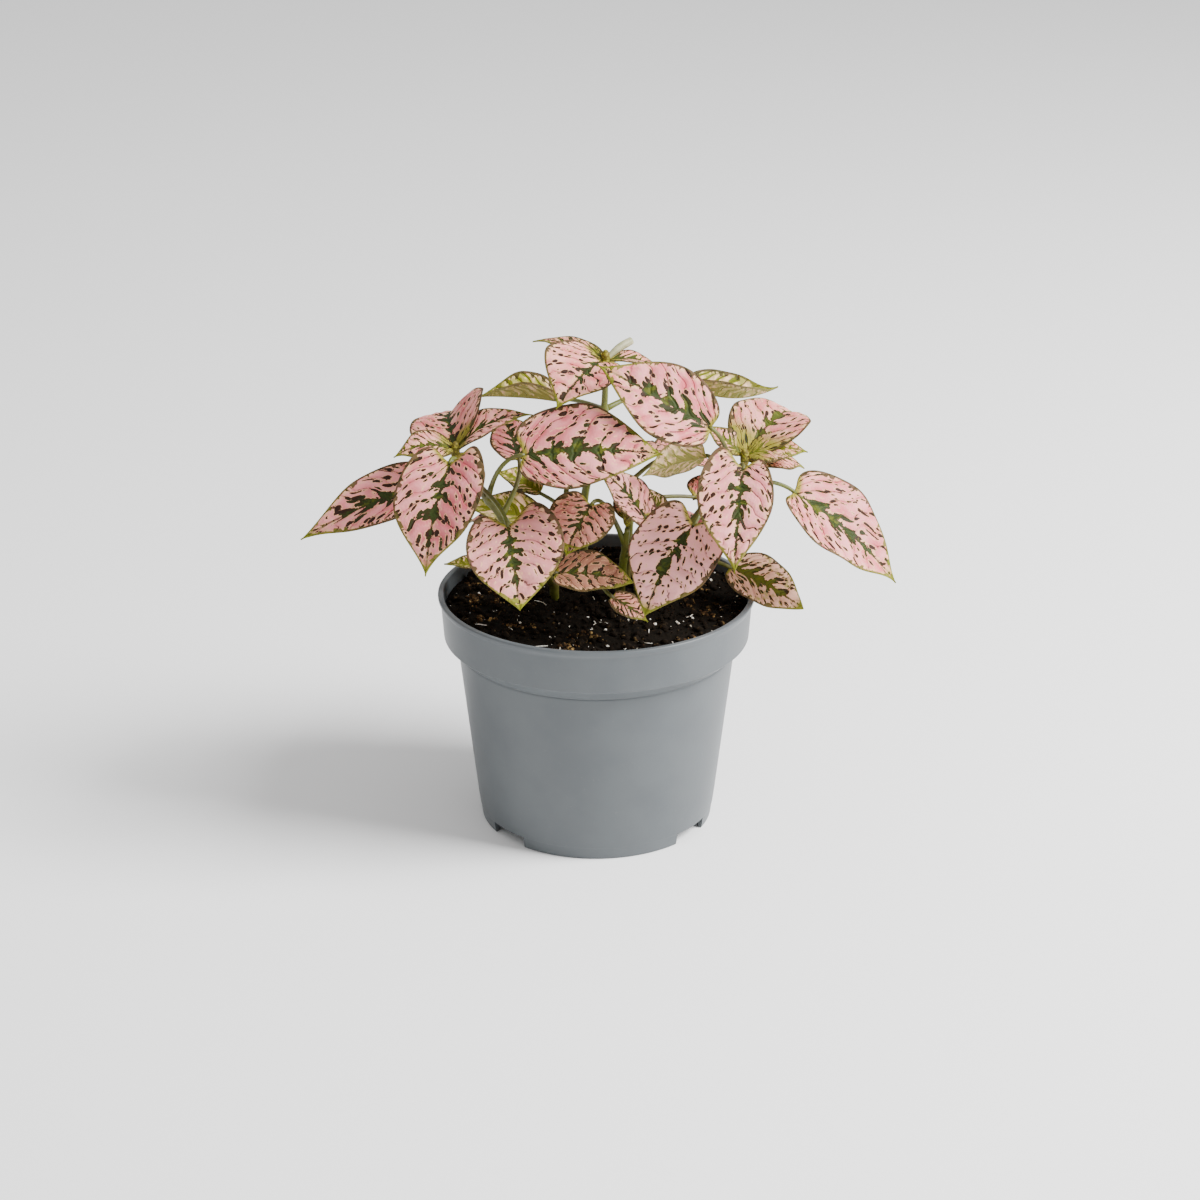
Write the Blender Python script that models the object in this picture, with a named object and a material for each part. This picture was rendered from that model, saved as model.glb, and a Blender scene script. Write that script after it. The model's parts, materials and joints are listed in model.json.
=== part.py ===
"""Potted polka dot plant: a round nursery pot, its soil, six leafy stems and their leaves.

The origin is the centre of the pot's foot, on the surface that the pot stands on.
+Z is up and -Y is the plant's front. Sizes are in millimetres and angles in degrees;
every mesh is scaled to metres as it is made.
"""
import math
from collections import namedtuple

import bmesh
import bpy
import numpy as np
from mathutils import Euler, Matrix, Vector, noise

MM = 0.001
SHARP_ANGLE = math.radians(40)
GAP = 0.3                      # clearance between neighbouring solids
BLADE_GAP = 0.4                # from a petiole's end to its blade

# ---------------------------------------------------------------- driving dimensions
POT_HEIGHT = 80.0
RIM_RADIUS = 52.5              # outside of the lip
FOOT_RADIUS = 38.9             # outside of the foot ring
WALL = 0.9
FOOT_RING_WIDTH = 1.4
PLATE_BOTTOM = 4.8             # the base plate stands clear of the surface
PLATE_THICKNESS = 1.0
POT_SEGMENTS = 48

NOTCH_ANGLES = (-49, 54, 131, -126)    # drainage notches in the foot, from the front
NOTCH_WIDTH = 15.0
NOTCH_HEIGHT = 4.0
DRAIN_HOLES = 6
DRAIN_HOLE_RADIUS = 3.5
DRAIN_CIRCLE_RADIUS = 24.0

SOIL_LEVEL = 76.0
SOIL_RELIEF = 1.2
SOIL_EDGE_DROP = 0.8           # the soil sinks a little where it meets the pot
SOIL_RINGS = 4

STEM_FOOT = 66.0               # how deep the stems stand in the soil
STEM_RADIUS = 1.7
STEM_TOP_RADIUS = 1.1
STEM_SIDES = 6
PETIOLE_RADIUS = 0.85
PETIOLE_SIDES = 5
PETIOLE_STEPS = 5
PETIOLE_BEND = 0.33            # how far back along the blade the petiole's curve bends

BLADE_THICKNESS = 0.8
BLADE_ROWS = 8                 # cells from the base of a grown blade to its tip
YOUNG_BLADE_ROWS = 6
BLADE_COLUMNS = 4              # cells from margin to margin
BLADE_BASE_WIDTH = 1.8
BLADE_TIP_WIDTH = 0.6
LOBE_START = 0.03              # how soon past its base a blade's lobes reach back
LOBE_SKEW = 2.5                # how much more a skewed blade's lobes differ than its halves
MARGIN_WAVE = 0.02             # of the blade's width
MARGIN_RIPPLES = 2.3           # along each margin
BUD_RADIUS = 2.6

# A leaf's blade starts at base (x, y, z) and runs along heading (0 = +X, 90 = +Y) and
# rise. Roll turns it about its midrib, arch bows the midrib, cup folds the two halves
# up, and lobe draws the base's corners back past the petiole. Skew makes the half on its
# left the wider one, with the larger lobe, and blunt makes its tip fuller.
Leaf = namedtuple("Leaf", "name base heading rise length width roll arch cup lobe skew blunt",
                  defaults=(0.0, 0.0))

# The path of each stem, from the soil to its tip.
STEM_PATHS = {
    "crown": [(-4, 10, 80), (-4, 4, 110), (2, -2, 140), (3, -4, 158)],
    "left": [(-14, 4, 80), (-26, -12, 104), (-36, -20, 121), (-45, -16, 131)],
    "right": [(14, 3, 80), (28, -11, 104), (36, -20, 119), (46, -22, 130)],
    "front": [(8, 2, 80), (9, -8, 95), (10, -14, 107)],
    "back_left": [(-9, 20, 80), (-11, 21, 96), (-10, 23, 107)],
    "back_right": [(10, 18, 80), (11, 15, 102), (8, 14, 116)],
}

# The grown leaves of each stem, each with how far up the stem its petiole leaves.
LEAVES = {
    "crown": [
        (0.72, Leaf("right", (31, 16, 147), 5, -5, 29, 13, 0, -0.14, 1.0, 0.04)),
        (0.72, Leaf("left", (-13, 20, 140), 176, 0, 26, 12, 0, 0.03, 1.1, 0.04)),
    ],
    "left": [
        (0.94, Leaf("front", (-46, -28, 135), -108, -52, 38, 30, 5, 0.08, 0.15, 0.32, 0.04)),
        (0.80, Leaf("outer", (-50, -6, 122), -170, -22, 50, 21, -35, 0.05, 0.15, 0.04, 0, 0.10)),
        (0.84, Leaf("heart", (-28, -34, 116), -77, -50, 28.5, 31, 8, 0.08, 0.15, 0.40, 0.08, 0.30)),
        (0.62, Leaf("broad", (-23, -33, 139), -8, 3, 44, 31, 40, 0.06, -0.05, 0.15, 0.15, 0.20)),
        (0.48, Leaf("inner", (-25, -6, 128), 125, 50, 17, 18, 0, 0.05, 0.10, 0.06)),
        (0.28, Leaf("low", (-13, -30, 98), -5, -5, 25, 20, 20, 0.05, 0.15, 0.10, 0, 0.40)),
    ],
    "right": [
        (0.92, Leaf("front", (46, -33.5, 135), -98, -46, 36, 24, 0, 0.08, 0.10, 0.32, -0.12)),
        (0.84, Leaf("outer", (64, -8, 117.5), -10, -41, 45, 31, 25, 0.06, 0.15, 0.14, 0.02, 0.10)),
        (0.90, Leaf("high", (36, -28, 146), 176, 29, 41, 25, -55, 0.04, 0.10, 0.08)),
        (0.78, Leaf("under", (35, -8, 130), -160, -12, 22, 19, 62, 0.05, 0.20, 0.04)),
        (0.66, Leaf("heart", (31, -33, 116), -140, -52, 33, 34, -10, 0.08, 0.10, 0.40, 0.05, 0.30)),
        (0.35, Leaf("inner", (22, -7, 107), 150, 40, 16, 13, -10, 0.05, 0.10, 0.04)),
    ],
    "front": [
        (0.70, Leaf("left", (-1.5, -23.5, 119), -127, -45, 19, 22, -15, 0.10, 0.15, 0.30, 0, 0.20)),
        (0.50, Leaf("right", (15.5, -19, 113), 165, 44, 22, 20, -10, 0.06, 0.10, 0.28)),
        (0.25, Leaf("low", (5, -33, 91), -20, -30, 14, 10, 20, 0.05, 0.10, 0.10)),
    ],
    "back_left": [
        (0.70, Leaf("upper", (-19, 30, 103), 165, 22, 17, 14, -15, 0.05, 0.30, 0.04)),
        (0.55, Leaf("lower", (-18, 15, 98), 168, 8, 28, 17, -20, 0.05, 0.30, 0.04)),
        (0.30, Leaf("back", (-10, 34, 91), 108, -12, 25, 17, -5, 0.10, 0.15, 0.10)),
        (0.42, Leaf("outer", (-23, 30, 93), 145, -15, 28, 19, -10, 0.10, 0.15, 0.10)),
        (0.10, Leaf("side", (-37, 4, 85), -170, 15, 14, 9, -10, 0.05, 0.30, 0.04)),
    ],
    "back_right": [
        (0.80, Leaf("upper", (23, 23, 118), 48, -26, 34, 23, 15, 0.10, 0.15, 0.15)),
        (0.62, Leaf("outer", (33, 26, 103), 30, -20, 32, 22, 15, 0.10, 0.15, 0.15)),
        (0.45, Leaf("back", (12, 33, 98), 78, -25, 27, 20, 5, 0.10, 0.15, 0.15)),
        (0.25, Leaf("lower", (27, 32, 90), 60, -15, 24, 17, 10, 0.10, 0.15, 0.10)),
        (0.12, Leaf("side", (44, 0, 88), -15, -26, 28, 21, 25, 0.06, 0.10, 0.06, 0, 0.50)),
    ],
}

# The crowded young leaves at a stem's tip, which grow out of one bud.
TIPS = {
    "crown": ((3, -4, 161), [
        Leaf("a", (2, -4, 161.5), 150, 3, 26, 9, -5, 0.08, 0.20, 0.02),
        Leaf("b", (2, -5, 161), -125, -20, 27, 26, -16, 0.10, 0.22, 0.14, -0.12),
        Leaf("c", (3, -4, 161), 35, 24, 11, 4.5, 0, 0.00, 0.50, 0.00),
        Leaf("d", (4, -4, 161), 20, -20, 20, 9, 10, 0.12, 0.20, 0.02),
    ]),
    "left": ((-45, -15, 134), [
        Leaf("a", (-45, -14, 135), 90, 2, 30, 28, -28, 0.18, 0.30, 0.10, -0.08),
        Leaf("b", (-44, -15, 135), 8, 22, 26, 15, 12, 0.14, 0.20, 0.04),
        Leaf("c", (-46, -15, 135), -166, -5, 19, 15, -20, 0.15, 0.10, 0.04),
        Leaf("d", (-44, -13, 133), 55, -65, 22, 12, 0, 0.05, 0.20, 0.04),
    ]),
    "right": ((47, -22, 134), [
        Leaf("a", (48, -21, 135), 58, 4, 34, 26, 10, 0.20, 0.20, 0.10),
        Leaf("b", (46, -21, 135), 158, 32, 15, 10, -20, 0.05, 0.20, 0.02),
        Leaf("c", (48, -22, 135), 2, 2, 19, 15, 20, 0.12, 0.10, 0.02),
        Leaf("d", (48, -20, 133), 30, -18, 23, 15, 20, 0.10, 0.10, 0.02),
    ]),
    "front": ((10, -14, 111), [
        Leaf("a", (10, -14, 110), 85, 30, 14, 10, 0, 0.05, 0.20, 0.02),
        Leaf("b", (10, -14, 110), 10, 60, 8, 5, 0, 0.05, 0.30, 0.02),
    ]),
    "back_left": ((-10, 23, 110), [
        Leaf("a", (-10, 24, 111), 96, -18, 32, 20, -5, 0.10, 0.15, 0.08),
        Leaf("b", (-11, 23, 111), 200, 28, 20, 13, 0, 0.10, 0.20, 0.02),
        Leaf("c", (-9, 23, 111), 35, 8, 17, 11, 0, 0.10, 0.20, 0.02),
    ]),
    "back_right": ((8, 14, 119), [
        Leaf("a", (8, 15, 120), 92, -12, 34, 23, 5, 0.10, 0.15, 0.08),
        Leaf("b", (9, 14, 120), 5, 5, 20, 14, 0, 0.10, 0.20, 0.02),
        Leaf("c", (7, 14, 120), 175, 10, 18, 12, 0, 0.10, 0.20, 0.02),
    ]),
}

# Leaves that stay greener, low down or in the plant's own shade.
GREEN_LEAVES = ("back_left_upper", "back_left_lower", "back_left_side", "back_right_side",
                "right_under", "right_inner", "crown_left", "crown_right")


# ---------------------------------------------------------------- shared helpers
def clear_scene():
    """Start from an empty scene."""
    for obj in list(bpy.data.objects):
        bpy.data.objects.remove(obj, do_unlink=True)


def make_material(name, colour, roughness):
    """One plain finish: a Principled shader with its colour and roughness."""
    material = bpy.data.materials.new(name)
    material.use_nodes = True
    shader = material.node_tree.nodes["Principled BSDF"]
    shader.inputs["Base Color"].default_value = (*colour, 1.0)
    shader.inputs["Roughness"].default_value = roughness
    shader.inputs["Metallic"].default_value = 0.0
    material.diffuse_color = (*colour, 1.0)
    return material


def make_object(name, points, faces, material=None, parent=None):
    """A mesh object from points in millimetres, its faces turned outwards."""
    mesh = bpy.data.meshes.new(name)
    mesh.from_pydata([Vector(p) * MM for p in points], [], [tuple(f) for f in faces])
    bm = bmesh.new()
    bm.from_mesh(mesh)
    bmesh.ops.recalc_face_normals(bm, faces=bm.faces)
    bm.to_mesh(mesh)
    bm.free()
    obj = bpy.data.objects.new(name, mesh)
    bpy.context.scene.collection.objects.link(obj)
    obj.parent = parent
    if material:
        mesh.materials.append(material)
    return obj


def combine(obj, others, operation):
    """Join the others to a solid or cut them from it, in one Boolean, and remove them."""
    helpers = bpy.data.collections.new(obj.name + "_helpers")
    bpy.context.scene.collection.children.link(helpers)
    for other in others:
        helpers.objects.link(other)
    modifier = obj.modifiers.new(operation.lower(), "BOOLEAN")
    modifier.operand_type = "COLLECTION"
    modifier.collection = helpers
    modifier.operation = operation
    modifier.solver = "EXACT"
    bpy.context.view_layer.update()
    evaluated = obj.evaluated_get(bpy.context.evaluated_depsgraph_get())
    result = bpy.data.meshes.new_from_object(evaluated)
    obj.modifiers.clear()
    obj.data = result
    for other in list(helpers.objects):
        bpy.data.objects.remove(other, do_unlink=True)
    bpy.data.collections.remove(helpers)


def turned(name, profile, segments, material=None, parent=None):
    """A closed profile of (radius, height), turned once round Z; radius 0 is a pole."""
    points, rows = [], []
    for radius, height in profile:
        count = 1 if radius == 0 else segments
        rows.append(list(range(len(points), len(points) + count)))
        for i in range(count):
            angle = 2 * math.pi * i / segments
            points.append((radius * math.cos(angle), radius * math.sin(angle), height))
    faces = []
    for lower, upper in zip(rows, rows[1:]):
        for i in range(segments):
            ring = [lower[i % len(lower)], lower[(i + 1) % len(lower)],
                    upper[(i + 1) % len(upper)], upper[i % len(upper)]]
            faces.append(tuple(dict.fromkeys(ring)))
    return make_object(name, points, faces, material, parent)


def smooth_path(points, steps):
    """Points on a Catmull-Rom curve through the given points, steps to each span."""
    ends = [2 * points[0] - points[1], *points, 2 * points[-1] - points[-2]]
    path = []
    for a, b, c, d in zip(ends, ends[1:], ends[2:], ends[3:]):
        for i in range(steps):
            t = i / steps
            path.append(0.5 * (2 * b + (c - a) * t + (2 * a - 5 * b + 4 * c - d) * t * t
                               + (3 * b - a - 3 * c + d) * t ** 3))
    path.append(points[-1])
    return path


def tube(name, path, radii, sides, material=None, parent=None):
    """A closed round rod along a path, its cross-section carried without twist."""
    points, faces = [], []
    side = Vector((1, 0, 0))
    for i, centre in enumerate(path):
        ahead = path[min(i + 1, len(path) - 1)] - path[max(i - 1, 0)]
        ahead.normalize()
        side = (side - ahead * side.dot(ahead)).normalized()
        other = ahead.cross(side)
        for k in range(sides):
            angle = 2 * math.pi * k / sides
            points.append(centre + radii[i] * (side * math.cos(angle) + other * math.sin(angle)))
    for i in range(len(path) - 1):
        for k in range(sides):
            a, b = i * sides + k, i * sides + (k + 1) % sides
            faces.append((a, b, b + sides, a + sides))
    last = (len(path) - 1) * sides
    faces.append(tuple(range(sides)))
    faces.append(tuple(range(last, last + sides)))
    return make_object(name, points, faces, material, parent)


# ---------------------------------------------------------------- pot and soil
def pot_outside():
    """The outside of the pot, bottom to top: tapered body, collar and lip."""
    return [(FOOT_RADIUS, 0), (40.2, 9), (46.2, 61.5), (50.7, 65.2), (51.6, 77.5),
            (RIM_RADIUS, 78.8), (RIM_RADIUS, POT_HEIGHT)]


def pot_inside():
    """The inside of the pot, top to bottom, down to the base plate."""
    plate_top = PLATE_BOTTOM + PLATE_THICKNESS
    return [(50.6, POT_HEIGHT), (49.7, 66.0), (46.2 - WALL, 62.1), (40.2 - WALL, 9.2),
            (38.8, plate_top)]


def make_pot(material, parent):
    """The pot: one thin turned shell, its foot notched and its plate drilled to drain."""
    plate_top = PLATE_BOTTOM + PLATE_THICKNESS
    ring_inside = FOOT_RADIUS - FOOT_RING_WIDTH
    underside = [(0, PLATE_BOTTOM), (ring_inside - 0.2, PLATE_BOTTOM), (ring_inside, 0)]
    profile = underside + pot_outside() + pot_inside() + [(0, plate_top)]
    pot = turned("pot", profile, POT_SEGMENTS, material, parent)
    cutters = []
    for angle in NOTCH_ANGLES:
        turn = Matrix.Rotation(math.radians(angle), 4, "Z")
        box = [turn @ Vector((x, y, z)) for x in (-NOTCH_WIDTH / 2, NOTCH_WIDTH / 2)
               for y in (-FOOT_RADIUS - 4, -FOOT_RADIUS + 4) for z in (-2, NOTCH_HEIGHT)]
        sides = [(0, 1, 3, 2), (4, 5, 7, 6), (0, 1, 5, 4), (2, 3, 7, 6), (0, 2, 6, 4), (1, 3, 7, 5)]
        cutters.append(make_object("notch", box, sides))
    for i in range(DRAIN_HOLES):
        angle = 2 * math.pi * i / DRAIN_HOLES
        centre = Vector((math.cos(angle), math.sin(angle), 0)) * DRAIN_CIRCLE_RADIUS
        ends = [centre + Vector((0, 0, z)) for z in (PLATE_BOTTOM - 2, plate_top + 2)]
        cutters.append(tube("drain", ends, [DRAIN_HOLE_RADIUS] * 2, 12))
    combine(pot, cutters, "DIFFERENCE")
    return pot


def soil_height(x, y):
    """The soil's crumbly surface: a slow and a quick wave of noise."""
    slow = noise.noise(Vector((x * 0.05, y * 0.05, 1.7)))
    quick = noise.noise(Vector((x * 0.16, y * 0.16, 5.2)))
    return SOIL_LEVEL + SOIL_RELIEF * (slow + 0.6 * quick)


def make_soil(material, parent):
    """The soil fills the pot to just under its rim and has a plain hole for each stem."""
    (lip_radius, lip_height), *wall = pot_inside()
    edge = [(radius - GAP, height) for radius, height in wall]
    floor_radius, floor_height = edge.pop()
    floor_height += GAP
    collar_radius, collar_height = wall[0]
    share = (SOIL_LEVEL - collar_height) / (lip_height - collar_height)
    rim_radius = collar_radius + (lip_radius - collar_radius) * share - GAP
    profile = [(0, floor_height), (floor_radius, floor_height)] + edge[::-1]
    profile.append((rim_radius, SOIL_LEVEL - SOIL_EDGE_DROP))
    for ring in range(SOIL_RINGS - 1, 0, -1):
        profile.append((rim_radius * ring / SOIL_RINGS, SOIL_LEVEL))
    profile.append((0, SOIL_LEVEL))
    soil = turned("soil", profile, POT_SEGMENTS, material, parent)
    for vertex in soil.data.vertices:
        if abs(vertex.co.z - SOIL_LEVEL * MM) < 0.1 * MM:
            vertex.co.z = soil_height(vertex.co.x / MM, vertex.co.y / MM) * MM
    holes = []
    for path in STEM_PATHS.values():
        x, y, _ = path[0]
        ends = [Vector((x, y, STEM_FOOT - GAP)), Vector((x, y, SOIL_LEVEL + 6))]
        holes.append(tube("hole", ends, [STEM_RADIUS + 0.5] * 2, 12))
    combine(soil, holes, "DIFFERENCE")
    return soil


# ---------------------------------------------------------------- leaves
def half_width(s, blunt):
    """A blade's outline: broad near the base, drawn out to a sharp tip (s from 0 to 1)."""
    return np.sin(np.pi * s ** 0.72) ** (0.62 + (0.75 - blunt) * s)


def blade_surface(leaf, row_count):
    """The blade's middle surface on a grid, in its own frame: X midrib, Y across, Z up."""
    t = np.linspace(0, 1, row_count + 1)[:, None]
    s = (1 - np.cos(np.pi * t)) / 2
    v = np.linspace(-1, 1, BLADE_COLUMNS + 1)[None, :]
    least = (BLADE_BASE_WIDTH * (1 - s) + BLADE_TIP_WIDTH * s) / 2
    y = np.maximum(leaf.width / 2 * half_width(s, leaf.blunt), least) * v * (1 + leaf.skew * np.sign(v))
    lobe = leaf.lobe * (1 + LOBE_SKEW * leaf.skew * np.sign(v)) * np.abs(v) ** 1.6
    x = leaf.length * (s - lobe * (1 - s) ** 3 * s / (s + LOBE_START))
    z = 4 * leaf.arch * leaf.length * s * (1 - s) + leaf.cup * np.abs(y)
    ripple = np.sin(MARGIN_RIPPLES * 2 * np.pi * s + 0.9 * np.sign(v) + leaf.length)
    z = z + MARGIN_WAVE * leaf.width * ripple * np.abs(v) ** 3 * np.sin(np.pi * s)
    return np.stack([x, y, z], axis=-1)


def make_blade(name, leaf, row_count, material=None, parent=None):
    """A thin closed blade, both its faces split into triangles alike."""
    middle = blade_surface(leaf, row_count)
    rows, columns = middle.shape[:2]
    lift = BLADE_THICKNESS / 2 * math.hypot(1, leaf.cup)
    shell = np.concatenate([middle + (0, 0, lift), middle - (0, 0, lift)]).reshape(-1, 3)
    under = rows * columns
    index = np.arange(under).reshape(rows, columns)
    faces = []
    for i in range(rows - 1):
        for j in range(columns - 1):
            a, b = index[i, j], index[i, j + 1]
            c, d = index[i + 1, j + 1], index[i + 1, j]
            pair = [(a, b, c), (a, c, d)] if j < (columns - 1) / 2 else [(a, b, d), (b, c, d)]
            faces += pair
            faces += [tuple(k + under for k in face[::-1]) for face in pair]
    rim = [*index[0, :], *index[1:, -1], *index[-1, -2::-1], *index[-2:0:-1, 0]]
    for a, b in zip(rim, rim[1:] + rim[:1]):
        faces += [(a, b, b + under), (a, b + under, a + under)]
    blade = make_object(name, shell.tolist(), [[int(k) for k in f] for f in faces], material, parent)
    blade.location = Vector(leaf.base) * MM
    blade.rotation_euler = blade_turn(leaf)
    return blade


def blade_turn(leaf):
    """The blade's rotation: roll about its midrib, then rise, then heading."""
    return Euler((math.radians(leaf.roll), -math.radians(leaf.rise), math.radians(leaf.heading)))


# ---------------------------------------------------------------- stems and tips
def petiole_path(start, leaf):
    """The petiole's curve: out of the stem and along the blade's midrib at its end."""
    along = blade_turn(leaf).to_matrix() @ Vector((1, 0, 0))
    end = Vector(leaf.base) - along * BLADE_GAP
    reach = (end - start).length
    bend = end - along * reach * PETIOLE_BEND
    return [start * (1 - t) ** 2 + bend * 2 * t * (1 - t) + end * t * t
            for t in (i / PETIOLE_STEPS for i in range(PETIOLE_STEPS + 1))]


def make_stem(name, corners, leaves, material, parent):
    """A stem with its petioles, joined into one solid."""
    x, y, _ = corners[0]
    foot = Vector((x, y, STEM_FOOT))
    path = [foot] + smooth_path([Vector(p) for p in corners], 3)
    shares = [i / (len(path) - 1) for i in range(len(path))]
    radii = [STEM_RADIUS + (STEM_TOP_RADIUS - STEM_RADIUS) * share for share in shares]
    stem = tube("stem_" + name, path, radii, STEM_SIDES, material, parent)
    petioles = []
    for share, leaf in leaves:
        place = 1 + share * (len(path) - 2)
        k = min(int(place), len(path) - 2)
        start = path[k].lerp(path[k + 1], place - k)
        curve = petiole_path(start, leaf)
        petioles.append(tube("petiole", curve, [PETIOLE_RADIUS] * len(curve), PETIOLE_SIDES))
    combine(stem, petioles, "UNION")
    return stem


def make_tip(name, centre, leaves, material, parent):
    """A stem's tip: its young leaves joined at the bud that they unfold from."""
    bud = bmesh.new()
    bmesh.ops.create_icosphere(bud, subdivisions=1, radius=BUD_RADIUS)
    points = [v.co + Vector(centre) for v in bud.verts]
    faces = [[v.index for v in face.verts] for face in bud.faces]
    bud.free()
    tip = make_object("tip_" + name, points, faces, material, parent)
    combine(tip, [make_blade("young", leaf, YOUNG_BLADE_ROWS) for leaf in leaves], "UNION")
    return tip


# ---------------------------------------------------------------- the whole plant
def main():
    clear_scene()
    plant = bpy.data.objects.new("potted_plant", None)
    bpy.context.scene.collection.objects.link(plant)
    plastic = make_material("pot_plastic", (0.20, 0.23, 0.24), 0.45)
    peat = make_material("soil_peat", (0.03, 0.02, 0.015), 0.95)
    green = make_material("stem_green", (0.22, 0.24, 0.08), 0.5)
    pink = make_material("leaf_pink", (0.76, 0.43, 0.45), 0.45)
    olive = make_material("leaf_green", (0.55, 0.50, 0.25), 0.5)
    young = make_material("leaf_young", (0.70, 0.45, 0.35), 0.45)

    make_pot(plastic, plant)
    make_soil(peat, plant)
    for name, corners in STEM_PATHS.items():
        make_stem(name, corners, LEAVES[name], green, plant)
        for _, leaf in LEAVES[name]:
            full_name = f"{name}_{leaf.name}"
            finish = olive if full_name in GREEN_LEAVES else pink
            make_blade("leaf_" + full_name, leaf, BLADE_ROWS, finish, plant)
    for name, (centre, leaves) in TIPS.items():
        make_tip(name, centre, leaves, young, plant)
    for obj in plant.children:
        obj.data.shade_smooth()
        obj.data.set_sharp_from_angle(angle=SHARP_ANGLE)


main()
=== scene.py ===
# %% [markdown]
# # A potted polka dot plant
# A young polka dot plant in the plain round pot that a nursery sells it in. What anyone
# knows it by is its leaves: pink blades, flecked with dark spots that lie in rows along the
# veins, with a jagged green mark down the middle. The leaves sit in pairs on thin stems,
# and each stem ends in a bud with a crowd of young leaves round it.
#
# The solid model of the plant is loaded first and never moved. It fixes where every stem
# and leaf is. Each cell after that makes one kind of piece again as a finer surface in the
# same place, and gives it its finish.

# %% Load the fixed frame
import json
import math
from collections import namedtuple
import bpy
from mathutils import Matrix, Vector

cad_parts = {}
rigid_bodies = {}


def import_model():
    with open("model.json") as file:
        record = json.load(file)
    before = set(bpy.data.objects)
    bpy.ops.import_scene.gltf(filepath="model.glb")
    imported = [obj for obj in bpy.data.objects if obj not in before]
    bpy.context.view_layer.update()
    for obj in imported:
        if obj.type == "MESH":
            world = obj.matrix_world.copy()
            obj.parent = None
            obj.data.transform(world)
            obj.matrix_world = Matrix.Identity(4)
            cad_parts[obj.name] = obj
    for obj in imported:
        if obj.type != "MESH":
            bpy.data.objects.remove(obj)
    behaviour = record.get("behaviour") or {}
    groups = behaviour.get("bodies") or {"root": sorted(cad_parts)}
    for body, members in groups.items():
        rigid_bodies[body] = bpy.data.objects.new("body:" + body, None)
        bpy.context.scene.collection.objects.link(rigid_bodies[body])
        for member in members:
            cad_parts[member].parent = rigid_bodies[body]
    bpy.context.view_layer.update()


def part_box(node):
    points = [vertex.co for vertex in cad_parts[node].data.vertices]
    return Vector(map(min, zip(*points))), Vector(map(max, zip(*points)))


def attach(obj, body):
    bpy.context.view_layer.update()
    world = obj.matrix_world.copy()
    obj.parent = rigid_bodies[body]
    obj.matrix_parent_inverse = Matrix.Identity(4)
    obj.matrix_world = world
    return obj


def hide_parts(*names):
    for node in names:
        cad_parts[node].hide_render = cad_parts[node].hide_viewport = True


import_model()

from types import SimpleNamespace

import bpy
import numpy as np
from mathutils import Euler, Matrix, Vector

MM = 0.001

# %% [markdown]
# ## Skins
# Almost every piece of a plant is a skin over a row of rings: a stem is circles carried
# along a path, a leaf is flat ovals carried along its midrib, and a pot is circles stacked
# on an axis. They could be made with curves and bevels, or by extruding, but a plain grid
# of points gives each point two numbers, how far along and how far round, and a formula
# can then say where the point goes and also what the finish should do there. So one helper
# turns rings into a closed skin, and another joins skins into a piece of the plant.

# %% Closed skins from rings
Skin = namedtuple("Skin", "points quads fans fields")


def closed_skin(rings, fields=None):
    """A closed skin over rings, an array of (ring, point in ring, 3) in millimetres.

    Quads join each ring to the next, and a fan round a middle point closes each end.
    fields are further arrays of the same shape, numbers that the finish reads."""
    count, around = rings.shape[:2]
    index = np.arange(count * around).reshape(count, around)
    after = np.roll(index, -1, axis=1)
    quads = np.stack([index[:-1], after[:-1], after[1:], index[1:]], axis=-1).reshape(-1, 4)
    poles = np.full(around, count * around)
    fans = np.concatenate([np.stack([after[0], index[0], poles], axis=-1),
                           np.stack([index[-1], after[-1], poles + 1], axis=-1)])

    def with_poles(grid):
        ends = np.stack([grid[0].mean(axis=0), grid[-1].mean(axis=0)])
        return np.concatenate([grid.reshape(-1, 3), ends])

    points = with_poles(rings)
    corners = points[quads] - points.mean(axis=0)
    turn = np.cross(corners[:, 1] - corners[:, 0], corners[:, 3] - corners[:, 0])
    if (turn * corners[:, 0]).sum() < 0:
        quads, fans = quads[:, ::-1], fans[:, ::-1]
    return Skin(points, quads, fans, {key: with_poles(grid) for key, grid in (fields or {}).items()})


square = np.array([(0, 0, 0), (1, 0, 0), (1, 1, 0), (0, 1, 0)])
box = closed_skin(np.stack([square, square + (0, 0, 1)]))
print("two square rings make", len(box.quads), "quads and", len(box.fans), "triangles")


# %% Pieces from skins
def make_piece(name, skins, material, slot, *nodes):
    """One object from several skins. It rides on the plant and stands for the named solids."""
    starts = np.cumsum([0] + [len(skin.points) for skin in skins])
    points = np.concatenate([skin.points for skin in skins]) * MM
    faces = []
    for start, skin in zip(starts, skins):
        faces += (skin.quads + start).tolist() + (skin.fans + start).tolist()
    mesh = bpy.data.meshes.new(name)
    mesh.from_pydata(points.tolist(), [], faces)
    for key in skins[0].fields:
        layer = mesh.attributes.new(key, "FLOAT_VECTOR", "POINT")
        values = np.concatenate([skin.fields[key] for skin in skins])
        layer.data.foreach_set("vector", values.astype(np.float32).ravel())
    mesh.shade_smooth()
    mesh.materials.append(material)
    piece = bpy.data.objects.new(name, mesh)
    bpy.context.scene.collection.objects.link(piece)
    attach(piece, "root")
    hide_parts(*nodes)
    return piece


def triangles(*pieces):
    """How many triangles the pieces hold."""
    return sum(len(face.vertices) - 2 for piece in pieces for face in piece.data.polygons)


# %% [markdown]
# ## Uneven nature
# Nothing that grows is quite even. A Displace modifier with a texture could push a finished
# surface about, but here the formula of each piece needs the heights themselves. So a net
# of random heights is blended smoothly between its knots. It gives soft unevenness at any
# size, wide for the lie of the soil and fine for its crumbs, and a fixed seed makes every
# run give the same plant.

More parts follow.
